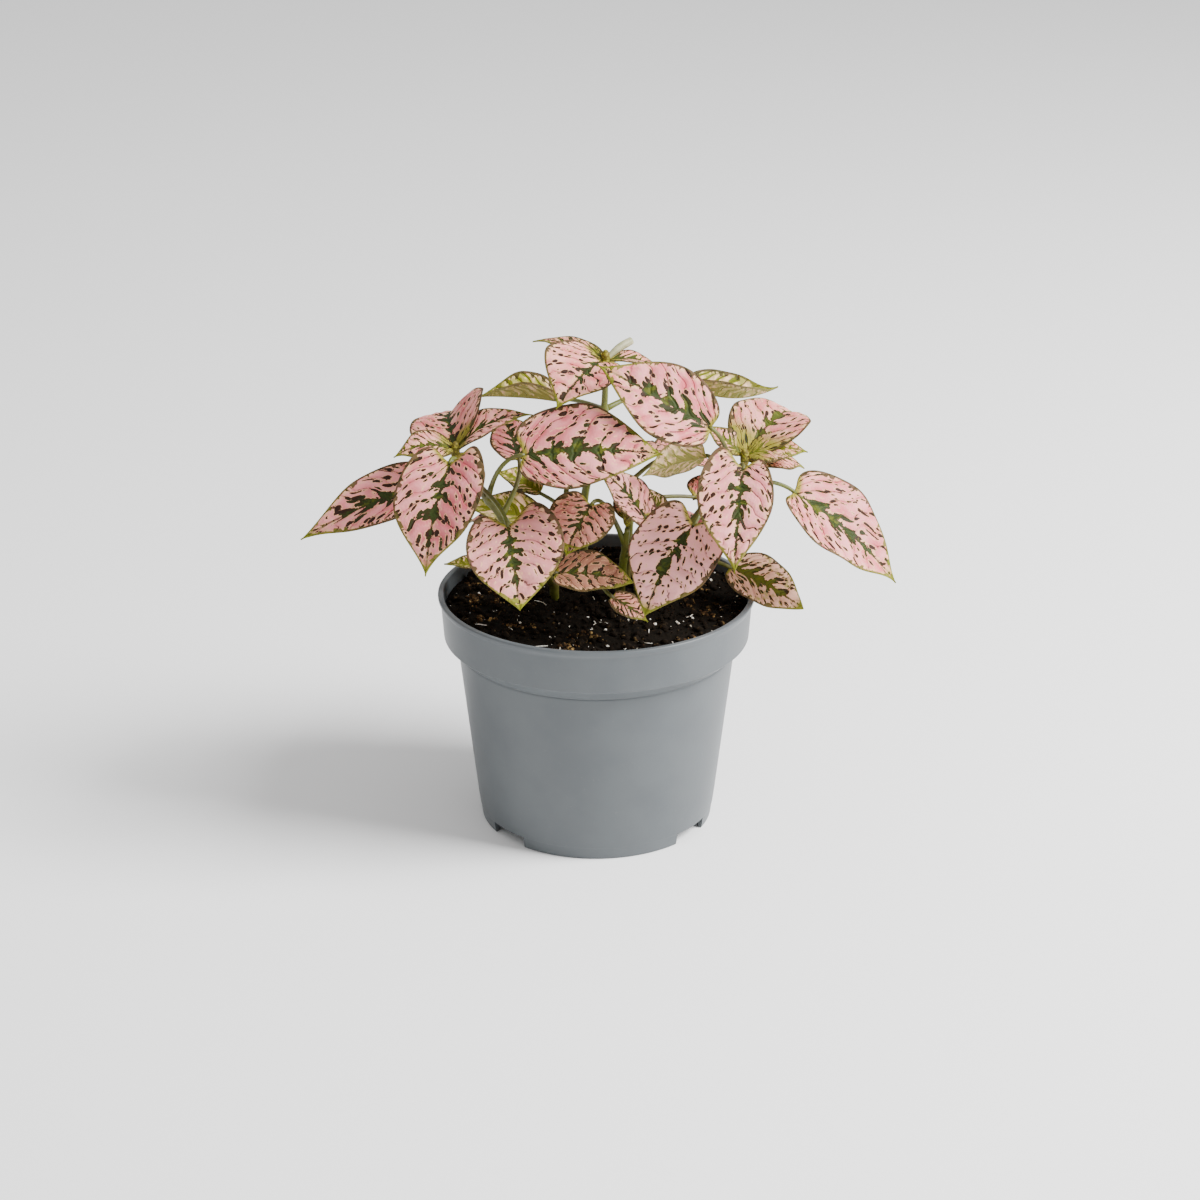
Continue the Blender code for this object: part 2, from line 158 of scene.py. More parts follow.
# %% Soft random unevenness
def uneven(x, y, cell, seed):
    """Random heights from -1 to 1 on a square net, blended between knots.

    With u and w the shares of the way across a cell, each eased by 3u^2 - 2u^3, the height
    is the mean of the four knots round the point, weighted by u and w. The net repeats
    after 128 cells."""
    count = 128
    knots = np.random.default_rng(seed).uniform(-1, 1, (count, count))
    i, j = np.floor(x / cell).astype(int), np.floor(y / cell).astype(int)
    u, w = x / cell - i, y / cell - j
    u, w = u * u * (3 - 2 * u), w * w * (3 - 2 * w)
    a, b = knots[i % count, j % count], knots[(i + 1) % count, j % count]
    c, d = knots[i % count, (j + 1) % count], knots[(i + 1) % count, (j + 1) % count]
    return (a * (1 - u) + b * u) * (1 - w) + (c * (1 - u) + d * u) * w


trial = uneven(np.linspace(0, 100, 1000), np.zeros(1000), 5.0, seed=1)
print("unevenness over 100 mm, from", trial.min().round(2), "to", trial.max().round(2))

# %% [markdown]
# ## Finishes
# A finish is a net of small nodes that ends in one shader. Wiring each node by hand takes
# three lines every time, so a short class wraps the handful of nodes that the finishes
# here need: a sum, a smooth step, a mix of two colours, a noise and a pattern of cells. A
# number that never varies over a surface is set on the shader itself.

# %% A short way to wire a finish
class Finish:
    """A material whose nodes are added one call at a time."""

    def __init__(self, name, roughness, specular=0.5):
        self.material = bpy.data.materials.new(name)
        self.material.use_nodes = True
        self.tree = self.material.node_tree
        self.shader = self.tree.nodes["Principled BSDF"]
        self.shader.inputs["Roughness"].default_value = roughness
        self.shader.inputs["Specular IOR Level"].default_value = specular

    def feed(self, socket, value):
        """Link another node's output to a socket, or set the socket to a plain value."""
        if isinstance(value, bpy.types.NodeSocket):
            self.tree.links.new(value, socket)
        else:
            socket.default_value = value

    def node(self, kind, inputs, **settings):
        """A node of that kind with its settings made and its sockets fed."""
        made = self.tree.nodes.new(kind)
        for key, value in settings.items():
            setattr(made, key, value)
        for key, value in inputs.items():
            self.feed(made.inputs[key], value)
        return made

    def field(self, name):
        """A field of the piece's own, as a vector and as its three numbers."""
        vector = self.node("ShaderNodeAttribute", {}, attribute_name=name).outputs["Vector"]
        return vector, *self.node("ShaderNodeSeparateXYZ", {0: vector}).outputs

    def sum(self, operation, *values):
        """One sum: MULTIPLY, ADD, MAXIMUM and so on."""
        return self.node("ShaderNodeMath", dict(enumerate(values)), operation=operation).outputs[0]

    def step(self, value, low, high):
        """0 up to low and 1 from high on, eased between; low may be the larger."""
        inputs = {"Value": value, "From Min": low, "From Max": high}
        return self.node("ShaderNodeMapRange", inputs, interpolation_type="SMOOTHSTEP").outputs[0]

    def mix(self, share, one, other):
        """The first colour, turning into the other as share goes from 0 to 1."""
        one, other = ((*c, 1) if isinstance(c, tuple) else c for c in (one, other))
        return self.node("ShaderNodeMix", {0: share, 6: one, 7: other}, data_type="RGBA").outputs[2]

    def noise(self, vector, scale, detail=2.0):
        """Soft noise from 0 to 1, with that many waves to one unit of the vector."""
        inputs = {"Vector": vector, "Scale": scale, "Detail": detail}
        return self.node("ShaderNodeTexNoise", inputs).outputs[0]

    def vector(self, x, y, z=0.0):
        """Three numbers as one vector."""
        return self.node("ShaderNodeCombineXYZ", {0: x, 1: y, 2: z}).outputs[0]

    def cells(self, x, y, randomness):
        """Distance to the nearest of one random point a cell, and three random numbers of it."""
        inputs = {"Vector": self.vector(x, y), "Scale": 1.0, "Randomness": randomness}
        made = self.node("ShaderNodeTexVoronoi", inputs, voronoi_dimensions="2D")
        return made.outputs["Distance"], *self.node("ShaderNodeSeparateColor",
                                                    {0: made.outputs["Color"]}).outputs

    def emboss(self, height, depth):
        """Height from 0 to 1 pressed into the surface, that many metres deep."""
        inputs = {"Height": height, "Distance": depth, "Strength": 1.0}
        self.feed(self.shader.inputs["Normal"], self.node("ShaderNodeBump", inputs).outputs[0])


# %% [markdown]
# ## The plant's plan
# A stem is a short list of corners with a smooth curve through them. A leaf is a base
# point, a heading and a rise, and the few numbers that shape its blade. That is how a
# grower would describe a shoot, and it keeps every leaf one line long. The plan is in
# millimetres, with the front of the plant at -Y.

# %% Stems, leaves and young shoots
# A blade starts at base and runs along heading (0 = +X, 90 = +Y) and rise, in degrees. Roll
# turns it about its midrib, arch bows the midrib, cup folds the halves up, and lobe draws
# the base's corners back past the petiole. Skew makes the half on its left the wider one,
# with the larger lobe, and blunt makes its tip fuller.
Leaf = namedtuple("Leaf", "name base heading rise length width roll arch cup lobe skew blunt",
                  defaults=(0.0, 0.0))

STEM_PATHS = {
    "crown": [(-4, 10, 80), (-4, 4, 110), (2, -2, 140), (3, -4, 158)],
    "left": [(-14, 4, 80), (-26, -12, 104), (-36, -20, 121), (-45, -16, 131)],
    "right": [(14, 3, 80), (28, -11, 104), (36, -20, 119), (46, -22, 130)],
    "front": [(8, 2, 80), (9, -8, 95), (10, -14, 107)],
    "back_left": [(-9, 20, 80), (-11, 21, 96), (-10, 23, 107)],
    "back_right": [(10, 18, 80), (11, 15, 102), (8, 14, 116)],
}

# The grown leaves of each stem, each with how far up the stem its petiole leaves.
LEAVES = {
    "crown": [
        (0.72, Leaf("right", (31, 16, 147), 5, -5, 29, 13, 0, -0.14, 1.0, 0.04)),
        (0.72, Leaf("left", (-13, 20, 140), 176, 0, 26, 12, 0, 0.03, 1.1, 0.04)),
    ],
    "left": [
        (0.94, Leaf("front", (-46, -28, 135), -108, -52, 38, 30, 5, 0.08, 0.15, 0.32, 0.04)),
        (0.80, Leaf("outer", (-50, -6, 122), -170, -22, 50, 21, -35, 0.05, 0.15, 0.04, 0, 0.10)),
        (0.84, Leaf("heart", (-28, -34, 116), -77, -50, 28.5, 31, 8, 0.08, 0.15, 0.40, 0.08, 0.30)),
        (0.62, Leaf("broad", (-23, -33, 139), -8, 3, 44, 31, 40, 0.06, -0.05, 0.15, 0.15, 0.20)),
        (0.48, Leaf("inner", (-25, -6, 128), 125, 50, 17, 18, 0, 0.05, 0.10, 0.06)),
        (0.28, Leaf("low", (-13, -30, 98), -5, -5, 25, 20, 20, 0.05, 0.15, 0.10, 0, 0.40)),
    ],
    "right": [
        (0.92, Leaf("front", (46, -33.5, 135), -98, -46, 36, 24, 0, 0.08, 0.10, 0.32, -0.12)),
        (0.84, Leaf("outer", (64, -8, 117.5), -10, -41, 45, 31, 25, 0.06, 0.15, 0.14, 0.02, 0.10)),
        (0.90, Leaf("high", (36, -28, 146), 176, 29, 41, 25, -55, 0.04, 0.10, 0.08)),
        (0.78, Leaf("under", (35, -8, 130), -160, -12, 22, 19, 62, 0.05, 0.20, 0.04)),
        (0.66, Leaf("heart", (31, -33, 116), -140, -52, 33, 34, -10, 0.08, 0.10, 0.40, 0.05, 0.30)),
        (0.35, Leaf("inner", (22, -7, 107), 150, 40, 16, 13, -10, 0.05, 0.10, 0.04)),
    ],
    "front": [
        (0.70, Leaf("left", (-1.5, -23.5, 119), -127, -45, 19, 22, -15, 0.10, 0.15, 0.30, 0, 0.20)),
        (0.50, Leaf("right", (15.5, -19, 113), 165, 44, 22, 20, -10, 0.06, 0.10, 0.28)),
        (0.25, Leaf("low", (5, -33, 91), -20, -30, 14, 10, 20, 0.05, 0.10, 0.10)),
    ],
    "back_left": [
        (0.70, Leaf("upper", (-19, 30, 103), 165, 22, 17, 14, -15, 0.05, 0.30, 0.04)),
        (0.55, Leaf("lower", (-18, 15, 98), 168, 8, 28, 17, -20, 0.05, 0.30, 0.04)),
        (0.30, Leaf("back", (-10, 34, 91), 108, -12, 25, 17, -5, 0.10, 0.15, 0.10)),
        (0.42, Leaf("outer", (-23, 30, 93), 145, -15, 28, 19, -10, 0.10, 0.15, 0.10)),
        (0.10, Leaf("side", (-37, 4, 85), -170, 15, 14, 9, -10, 0.05, 0.30, 0.04)),
    ],
    "back_right": [
        (0.80, Leaf("upper", (23, 23, 118), 48, -26, 34, 23, 15, 0.10, 0.15, 0.15)),
        (0.62, Leaf("outer", (33, 26, 103), 30, -20, 32, 22, 15, 0.10, 0.15, 0.15)),
        (0.45, Leaf("back", (12, 33, 98), 78, -25, 27, 20, 5, 0.10, 0.15, 0.15)),
        (0.25, Leaf("lower", (27, 32, 90), 60, -15, 24, 17, 10, 0.10, 0.15, 0.10)),
        (0.12, Leaf("side", (44, 0, 88), -15, -26, 28, 21, 25, 0.06, 0.10, 0.06, 0, 0.50)),
    ],
}

# The crowded young leaves at a stem's tip, which grow out of one bud.
TIPS = {
    "crown": ((3, -4, 161), [
        Leaf("a", (2, -4, 161.5), 150, 3, 26, 9, -5, 0.08, 0.20, 0.02),
        Leaf("b", (2, -5, 161), -125, -20, 27, 26, -16, 0.10, 0.22, 0.14, -0.12),
        Leaf("c", (3, -4, 161), 35, 24, 11, 4.5, 0, 0.00, 0.50, 0.00),
        Leaf("d", (4, -4, 161), 20, -20, 20, 9, 10, 0.12, 0.20, 0.02),
    ]),
    "left": ((-45, -15, 134), [
        Leaf("a", (-45, -14, 135), 90, 2, 30, 28, -28, 0.18, 0.30, 0.10, -0.08),
        Leaf("b", (-44, -15, 135), 8, 22, 26, 15, 12, 0.14, 0.20, 0.04),
        Leaf("c", (-46, -15, 135), -166, -5, 19, 15, -20, 0.15, 0.10, 0.04),
        Leaf("d", (-44, -13, 133), 55, -65, 22, 12, 0, 0.05, 0.20, 0.04),
    ]),
    "right": ((47, -22, 134), [
        Leaf("a", (48, -21, 135), 58, 4, 34, 26, 10, 0.20, 0.20, 0.10),
        Leaf("b", (46, -21, 135), 158, 32, 15, 10, -20, 0.05, 0.20, 0.02),
        Leaf("c", (48, -22, 135), 2, 2, 19, 15, 20, 0.12, 0.10, 0.02),
        Leaf("d", (48, -20, 133), 30, -18, 23, 15, 20, 0.10, 0.10, 0.02),
    ]),
    "front": ((10, -14, 111), [
        Leaf("a", (10, -14, 110), 85, 30, 14, 10, 0, 0.05, 0.20, 0.02),
        Leaf("b", (10, -14, 110), 10, 60, 8, 5, 0, 0.05, 0.30, 0.02),
    ]),
    "back_left": ((-10, 23, 110), [
        Leaf("a", (-10, 24, 111), 96, -18, 32, 20, -5, 0.10, 0.15, 0.08),
        Leaf("b", (-11, 23, 111), 200, 28, 20, 13, 0, 0.10, 0.20, 0.02),
        Leaf("c", (-9, 23, 111), 35, 8, 17, 11, 0, 0.10, 0.20, 0.02),
    ]),
    "back_right": ((8, 14, 119), [
        Leaf("a", (8, 15, 120), 92, -12, 34, 23, 5, 0.10, 0.15, 0.08),
        Leaf("b", (9, 14, 120), 5, 5, 20, 14, 0, 0.10, 0.20, 0.02),
        Leaf("c", (7, 14, 120), 175, 10, 18, 12, 0, 0.10, 0.20, 0.02),
    ]),
}

# How green each leaf is, from 0, pink, to 1, olive. The rest are pink.
GREENNESS = {
    "crown_right": 0.8, "crown_left": 0.9, "left_low": 0.25, "right_under": 0.7,
    "right_inner": 0.6, "front_left": 0.2, "front_low": 0.3, "back_left_upper": 0.8,
    "back_left_lower": 0.9, "back_left_side": 0.7, "back_right_side": 0.5,
}
# How wide the green mark on the midrib is, where it isn't the usual one (1).
MARKS = {"left_broad": 1.5, "right_high": 1.3, "left_front": 0.8, "right_outer": 1.2,
         "front_left": 0.5, "left_low": 0.7, "front_low": 0.6, "front_right": 0.8,
         "right_under": 0.55, "back_right_side": 0.8}
# How brown and how pale a leaf's ground is, from 0, not at all, to 1. The brown is partly
# the leaf's own tone and partly painted shade on leaves that lie in shadow, the pale partly
# its own tone and partly painted light on leaves that the lamp lights brightly.
BROWN_AND_PAINTED_SHADE = {"front_left": 0.50, "left_low": 0.85, "left_heart": 0.30, "left_broad": 0.10,
         "left_front": 0.10}
PALE_AND_PAINTED_LIGHT = {"right_heart": 1.0, "right_front": 0.3, "front_right": 0.4, "left_heart": 0.4,
        "back_right_side": 0.4}
GREEN_FROM = 0.5               # a leaf this green or more takes the green finish
print(sum(map(len, LEAVES.values())), "leaves and", len(TIPS), "young shoots on",
      len(STEM_PATHS), "stems")

# %% [markdown]
# ## Leaf finish
# The pattern follows the leaf's own veins, so it can't be a picture wrapped round the
# plant. Each point of a blade carries four fields: its place on the blade, where it lies
# among the side veins, how far along and which side up it is with how green its leaf is,
# and how wide a mark, how brown and how pale that leaf is. The brown is partly painted
# shade on leaves in shadow, and the pale partly painted light on brightly lit leaves. The
# finish counts in those numbers.

# %% Colours of the leaf
PINK = (0.56, 0.10, 0.12)
LIGHT_PINK = (0.84, 0.31, 0.31)
# A pale pink: a leaf's own pale tone and painted light.
PALE_AND_LIT_PINK = (0.95, 0.47, 0.45)
# A brown pink: a leaf's own brownish tone and painted shade.
SHADED_BROWN_PINK = (0.46, 0.22, 0.13)
# A dark brown: painted shade of leaves that lie in shadow, with some brown tone.
PAINTED_SHADE_BROWN = (0.13, 0.055, 0.026)
YOUNG_PINK = (0.56, 0.12, 0.12)
LIGHT_YOUNG_PINK = (0.83, 0.34, 0.30)
TAN = (0.62, 0.35, 0.21)
LIGHT_TAN = (0.88, 0.58, 0.38)
CREAM = (0.82, 0.50, 0.26)
OLIVE = (0.24, 0.25, 0.025)
YELLOW_GREEN = (0.23, 0.23, 0.008)
BRIGHT_GREEN = (0.145, 0.155, 0.008)
MARK_GREEN = (0.028, 0.040, 0.007)
MARK_EDGE = (0.032, 0.018, 0.005)
SPOT_BROWN = (0.030, 0.011, 0.006)
SPOT_GREEN = (0.024, 0.026, 0.005)
RIM_BROWN = (0.045, 0.034, 0.008)
UNDERSIDE = (0.50, 0.42, 0.17)


# %% What the patterns read
GRAIN, PATCH, DRIFT = 1.5, 0.40, 0.12    # waves to the millimetre, fine to wide
OTHER_SIDE = 31.7              # keeps the two halves of a blade from mirroring each other


def read_leaf(f):
    """The blade's fields, and the noises and sums that more than one pattern needs.

    row counts the side veins, so near_vein is 1 on a vein and 0 half way to the next. run
    is the way from the midrib and rim the way to the margin, both in millimetres."""
    place, _, y, seed = f.field("place")
    _, row, run, rim = f.field("veins")
    _, along, upper, green = f.field("kind")
    # The own field's second and third numbers are a brown tone with painted shade and a pale tone
    # with painted light.
    _, mark_width, brown_and_shade, pale = f.field("own")
    grain = f.noise(place, GRAIN)
    in_length = f.sum("MULTIPLY", f.step(along, 0.00, 0.14), f.step(along, 0.88, 0.40))
    return SimpleNamespace(
        place=place, y=y, row=row, run=run, rim=rim, along=along, upper=upper, green=green,
        mark_width=mark_width, brown_and_shade=brown_and_shade, pale=pale,
        grain=grain, patch=f.noise(place, PATCH), drift=f.noise(place, DRIFT),
        ragged=f.sum("MULTIPLY_ADD", grain, 1.0, -0.5),
        side=f.sum("MULTIPLY_ADD", f.sum("GREATER_THAN", y, 0.0), OTHER_SIDE, seed),
        near_vein=f.sum("MULTIPLY_ADD", f.sum("PINGPONG", row, 0.5), -2.0, 1.0),
        in_length=in_length,
        inner=f.sum("MULTIPLY", f.step(run, 8.0, 2.0), in_length))


# %% [markdown]
# The green mark is a band round the midrib. On the plant it creeps out along the side
# veins in blotches, so its half width grows where a noise and a vein agree, and a finer
# noise makes its edge jagged.

# %% The green mark
MARK_CORE, MARK_REACH = 0.85, 2.9        # millimetres from the midrib, alone and with a blotch


def past_the_mark(f, leaf, width):
    """How far past the mark's edge a point is, in millimetres; below 0 is inside it.

    It is run - (core + reach * blotch) * share of the length * width, made uneven."""
    blotch = f.noise(f.vector(f.sum("MULTIPLY", leaf.row, 0.9), leaf.side), 1.0, 1.0)
    reach = f.step(f.sum("MULTIPLY_ADD", blotch, 1.6, leaf.near_vein), 1.10, 1.80)
    half_mark = f.sum("MULTIPLY_ADD", reach, MARK_REACH, MARK_CORE)
    half_mark = f.sum("MULTIPLY", f.sum("MULTIPLY", half_mark, leaf.in_length),
                      f.sum("MULTIPLY", leaf.mark_width, width))
    blobs = f.sum("MULTIPLY_ADD", f.noise(leaf.place, 0.75, 1.0), 3.0, -1.5)
    past = f.sum("MULTIPLY_ADD", leaf.ragged, 2.0, f.sum("SUBTRACT", leaf.run, half_mark))
    return f.sum("ADD", past, blobs)


def mark_colour(f, leaf, past_mark):
    """Green in the middle, brown towards the edge, brighter in patches and on green leaves."""
    colour = f.mix(f.step(leaf.green, 0.1, 0.8), MARK_GREEN, BRIGHT_GREEN)
    browned = f.sum("MULTIPLY", f.step(past_mark, -1.1, -0.1), f.step(leaf.green, 0.7, 0.3))
    colour = f.mix(browned, colour, MARK_EDGE)
    return f.mix(f.sum("MULTIPLY", f.step(leaf.patch, 0.52, 0.68), 0.45), colour, BRIGHT_GREEN)


# %% [markdown]
# Spots are cells drawn out along the veins and kept where their row is near one. They are
# larger near the midrib and smaller on a pale leaf. Thin dark lines join some of them, and
# on the young leaves the lines close to a net.

# %% Spots and lines
SPOTS_OUT, SPOTS_PER_VEIN = 0.34, 2.0    # cells to the millimetre along a vein, and across


def past_a_spot(f, leaf, spot_size):
    """How far past the nearest spot's edge a point is, in cells, and the spot's random hue."""
    jitter = f.sum("MULTIPLY", leaf.ragged, 0.45)
    cell_x = f.sum("ADD", f.sum("MULTIPLY_ADD", leaf.run, SPOTS_OUT, leaf.side), jitter)
    cell_y = f.sum("ADD", f.sum("MULTIPLY", leaf.row, SPOTS_PER_VEIN), jitter)
    distance, random_size, random_keep, random_hue = f.cells(cell_x, cell_y, 0.9)
    keep = f.step(f.sum("MULTIPLY_ADD", leaf.near_vein, 0.75, random_keep), 0.62, 0.86)
    size = f.sum("MULTIPLY_ADD", random_size, 0.26, 0.17)
    size = f.sum("MULTIPLY", size, f.sum("MULTIPLY_ADD", leaf.inner, 0.6, 1.0))
    size = f.sum("MULTIPLY", size, f.sum("MULTIPLY_ADD", leaf.near_vein, 0.65, 0.65))
    size = f.sum("MULTIPLY", f.sum("MULTIPLY", size, keep),
                 f.sum("MULTIPLY_ADD", leaf.pale, -0.3, spot_size))
    return f.sum("SUBTRACT", distance, size), random_hue


def spot_colour(f, leaf, random_hue):
    """Brown, dark green for some spots near the midrib, and bright green on a green leaf."""
    greener = f.step(f.sum("MULTIPLY_ADD", leaf.inner, 0.8, random_hue), 0.75, 1.0)
    colour = f.mix(greener, SPOT_BROWN, SPOT_GREEN)
    return f.mix(f.step(leaf.green, 0.45, 0.75), colour, BRIGHT_GREEN)


def dark_lines(f, leaf, netted):
    """Thin lines on the side veins, broken where a noise fades them, and a net between them."""
    def line(value, thickness):
        offset = f.sum("MULTIPLY_ADD", leaf.ragged, 0.16, f.sum("PINGPONG", value, 0.5))
        return f.step(f.sum("ABSOLUTE", offset), thickness, thickness * 0.4)

    broken = f.step(f.sum("MULTIPLY_ADD", leaf.inner, 0.10, leaf.patch), 0.50, 0.58)
    lines = f.sum("MULTIPLY", line(leaf.row, 0.05), broken)
    if not netted:
        return lines
    fine = f.sum("MULTIPLY", line(f.sum("MULTIPLY", leaf.row, 2.0), 0.17),
                 f.step(leaf.grain, 0.40, 0.50))
    links = line(f.sum("MULTIPLY_ADD", leaf.run, 0.30, f.sum("MULTIPLY", leaf.patch, 3.0)), 0.10)
    links = f.sum("MULTIPLY", links, f.step(leaf.grain, 0.52, 0.60))
    net = f.sum("MULTIPLY", f.sum("MAXIMUM", fine, links), f.step(leaf.green, 0.1, 0.8))
    return f.sum("MAXIMUM", lines, net)


# %% [markdown]
# A thin dark rim with short teeth runs round the blade. The ground is laid first, pink,
# lighter in soft patches and between the veins and darker along them, a painted shade of
# the hollows the veins sink, then cream round every mark, then olive patches and the yellow
# green of base and tip, and the dark marks last, as a painter would lay them.

# %% The rim and the ground
TEETH = 22.0                   # along each margin, base to tip


def rim_line(f, leaf):
    """1 on the rim: a line 0.8 mm wide with teeth 1.1 mm longer, thinner at the base."""
    teeth = f.noise(f.vector(f.sum("MULTIPLY", leaf.along, TEETH), leaf.side), 1.0, 1.0)
    width = f.sum("MULTIPLY_ADD", f.step(teeth, 0.50, 0.62), 1.1, 0.78)
    thinner = f.sum("MULTIPLY_ADD", f.step(leaf.along, 0.0, 0.10), 0.7, 0.3)
    width = f.sum("MULTIPLY", width, thinner)
    return f.step(f.sum("SUBTRACT", f.sum("MULTIPLY_ADD", leaf.ragged, 0.35, leaf.rim), width),
                  0.10, -0.10)


def ground_colour(f, leaf, netted, ground, light, past_mark, past_spot):
    """The blade without its dark marks: ground with painted shade along the veins, painted
    light and shade in the pale and brown tones, cream, brown, olive and yellow green.
    """
    # Lighter in soft random patches, and darker along the veins: painted shade of the hollows that
    # the veins sink between the swellings.
    tone_and_vein_shade = f.sum("MULTIPLY_ADD", f.step(leaf.drift, 0.35, 0.65), 0.7,
                  f.sum("MULTIPLY", leaf.near_vein, -0.5))
    colour = f.mix(f.sum("ADD", tone_and_vein_shade, 0.45), ground, light)
    # Each leaf's own pale tone with painted light, then its brown tone with painted shade.
    colour = f.mix(f.sum("MULTIPLY", leaf.pale, 0.85), colour, PALE_AND_LIT_PINK)
    colour = f.mix(leaf.brown_and_shade, colour, PAINTED_SHADE_BROWN)
    fringe = f.sum("MULTIPLY", f.step(leaf.rim, 2.6, 0.8), f.step(leaf.patch, 0.40, 0.58))
    near_mark = f.sum("MULTIPLY", f.step(past_mark, 1.8, 0.2), f.step(leaf.patch, 0.38, 0.55))
    near_spot = f.sum("MULTIPLY", f.step(past_spot, 0.20, 0.04), 0.8)
    cream = f.sum("MAXIMUM", f.sum("MAXIMUM", fringe, near_mark), near_spot)
    colour = f.mix(f.sum("MULTIPLY", cream, 0.8), colour, CREAM)
    if not netted:
        # Leaves a little green turn half way to brown pink: their own brownish tone and painted shade
        # of the low leaves that lie in shadow.
        brown_and_shaded = f.sum("MULTIPLY", f.step(leaf.green, 0.05, 0.30), f.step(leaf.green, 0.45, 0.35))
        colour = f.mix(f.sum("MULTIPLY", brown_and_shaded, 0.5), colour, SHADED_BROWN_PINK)
    olive = f.step(f.sum("MULTIPLY_ADD", leaf.patch, 1.6, f.sum("MULTIPLY", leaf.green, 0.7)),
                   1.15, 1.55)
    colour = f.mix(f.sum("MULTIPLY", olive, 0.85), colour, OLIVE)
    base_fade = f.sum("MULTIPLY_ADD", leaf.green, 0.55, 0.10) if netted else 0.06
    ends = f.sum("MAXIMUM", f.step(leaf.along, 0.84, 0.97),
                 f.step(leaf.along, base_fade, f.sum("MULTIPLY", base_fade, 0.4)))
    return f.mix(f.sum("MULTIPLY", ends, 0.9), colour, YELLOW_GREEN)


# %% The whole leaf finish
def leaf_finish(name, mark_width, spot_size, netted, ground, light):
    """Ground first, then lines, spots, midrib, mark and rim, with the veins pressed in."""
    f = Finish(name, roughness=0.6, specular=0.15)
    leaf = read_leaf(f)
    past_mark = past_the_mark(f, leaf, mark_width)
    past_spot, random_hue = past_a_spot(f, leaf, spot_size)
    colour = ground_colour(f, leaf, netted, ground, light, past_mark, past_spot)
    lines = f.sum("MULTIPLY", dark_lines(f, leaf, netted), 0.80)
    colour = f.mix(lines, colour, SPOT_BROWN)
    colour = f.mix(f.step(past_spot, 0.04, -0.02), colour, spot_colour(f, leaf, random_hue))
    midrib = f.sum("MULTIPLY", f.step(f.sum("ABSOLUTE", leaf.y), 0.50, 0.26),
                   f.step(leaf.along, 1.0, 0.75))
    colour = f.mix(f.sum("MULTIPLY", midrib, 0.75), colour, SPOT_GREEN)
    colour = f.mix(f.step(past_mark, 0.15, -0.10), colour, mark_colour(f, leaf, past_mark))
    rim_colour = f.mix(f.step(leaf.along, 0.45, 0.95), RIM_BROWN, BRIGHT_GREEN)
    colour = f.mix(f.sum("MULTIPLY", rim_line(f, leaf), 0.92), colour, rim_colour)
    colour = f.mix(f.sum("MULTIPLY", f.step(leaf.upper, 0.45, 0.2), 0.30), colour, UNDERSIDE)
    f.feed(f.shader.inputs["Base Color"], colour)
    f.shader.inputs["Subsurface Weight"].default_value = 0.06
    f.shader.inputs["Subsurface Scale"].default_value = 0.001
    ridge = f.sum("MULTIPLY_ADD", f.step(f.sum("PINGPONG", leaf.row, 0.5), 0.0, 0.12), 0.6,
                  f.sum("MULTIPLY", leaf.grain, 0.4))
    f.emboss(ridge, 0.0004)
    return f.material


pink_leaf = leaf_finish("leaf_pink", 1.0, 0.92, False, PINK, LIGHT_PINK)
green_leaf = leaf_finish("leaf_green", 1.7, 1.0, False, TAN, LIGHT_TAN)
young_leaf = leaf_finish("leaf_young", 0.8, 0.8, True, YOUNG_PINK, LIGHT_YOUNG_PINK)
node_counts = [len(finish.node_tree.nodes) for finish in (pink_leaf, green_leaf, young_leaf)]
print("leaf finishes of", node_counts, "nodes")

# %% [markdown]
# ## Leaf blades
# A blade could be cut from a flat sheet and bent, but then its margin would be a sharp
# paper edge and its back would need a second sheet. Here one loop of points goes round the
# blade's thin cross-section, over the top and back underneath, and is carried from base to
# tip. The margins come out rounded, the whole blade is one closed skin, and the same
# formula bows the midrib, folds the halves up, sinks the veins and swells the leaf between
# them.

# %% Blades
BLADE_THICKNESS = 0.5
SIDE_VEINS, VEIN_SLANT = 6, 0.40         # on each side, and how far forward they run
VEIN_STRETCH = 1.25            # a side vein's length over the width that it crosses
RIPPLE, SWELLING = 0.02, 0.022           # of the width: at the margin and between the veins
BUMP, BUMP_SPAN = 0.35, 9.0
GROOVE_WIDTH, GROOVE, KEEL = 0.9, 0.35, 0.7    # along the midrib, above and below
UNDER, MARGIN, UPPER = 0.0, 0.5, 1.0     # the side of the blade that a point is on


def half_width(s, blunt):
    """A blade's outline: sin(pi s^0.72) to the power 0.62 + (0.75 - blunt) s, base to tip."""
    return np.sin(np.pi * s ** 0.72) ** (0.62 + (0.75 - blunt) * s)


def blade_turn(leaf):
    """The blade's rotation as a matrix: roll about its midrib, then rise, then heading."""
    turn = Euler((math.radians(leaf.roll), -math.radians(leaf.rise), math.radians(leaf.heading)))
    return np.array(turn.to_matrix())


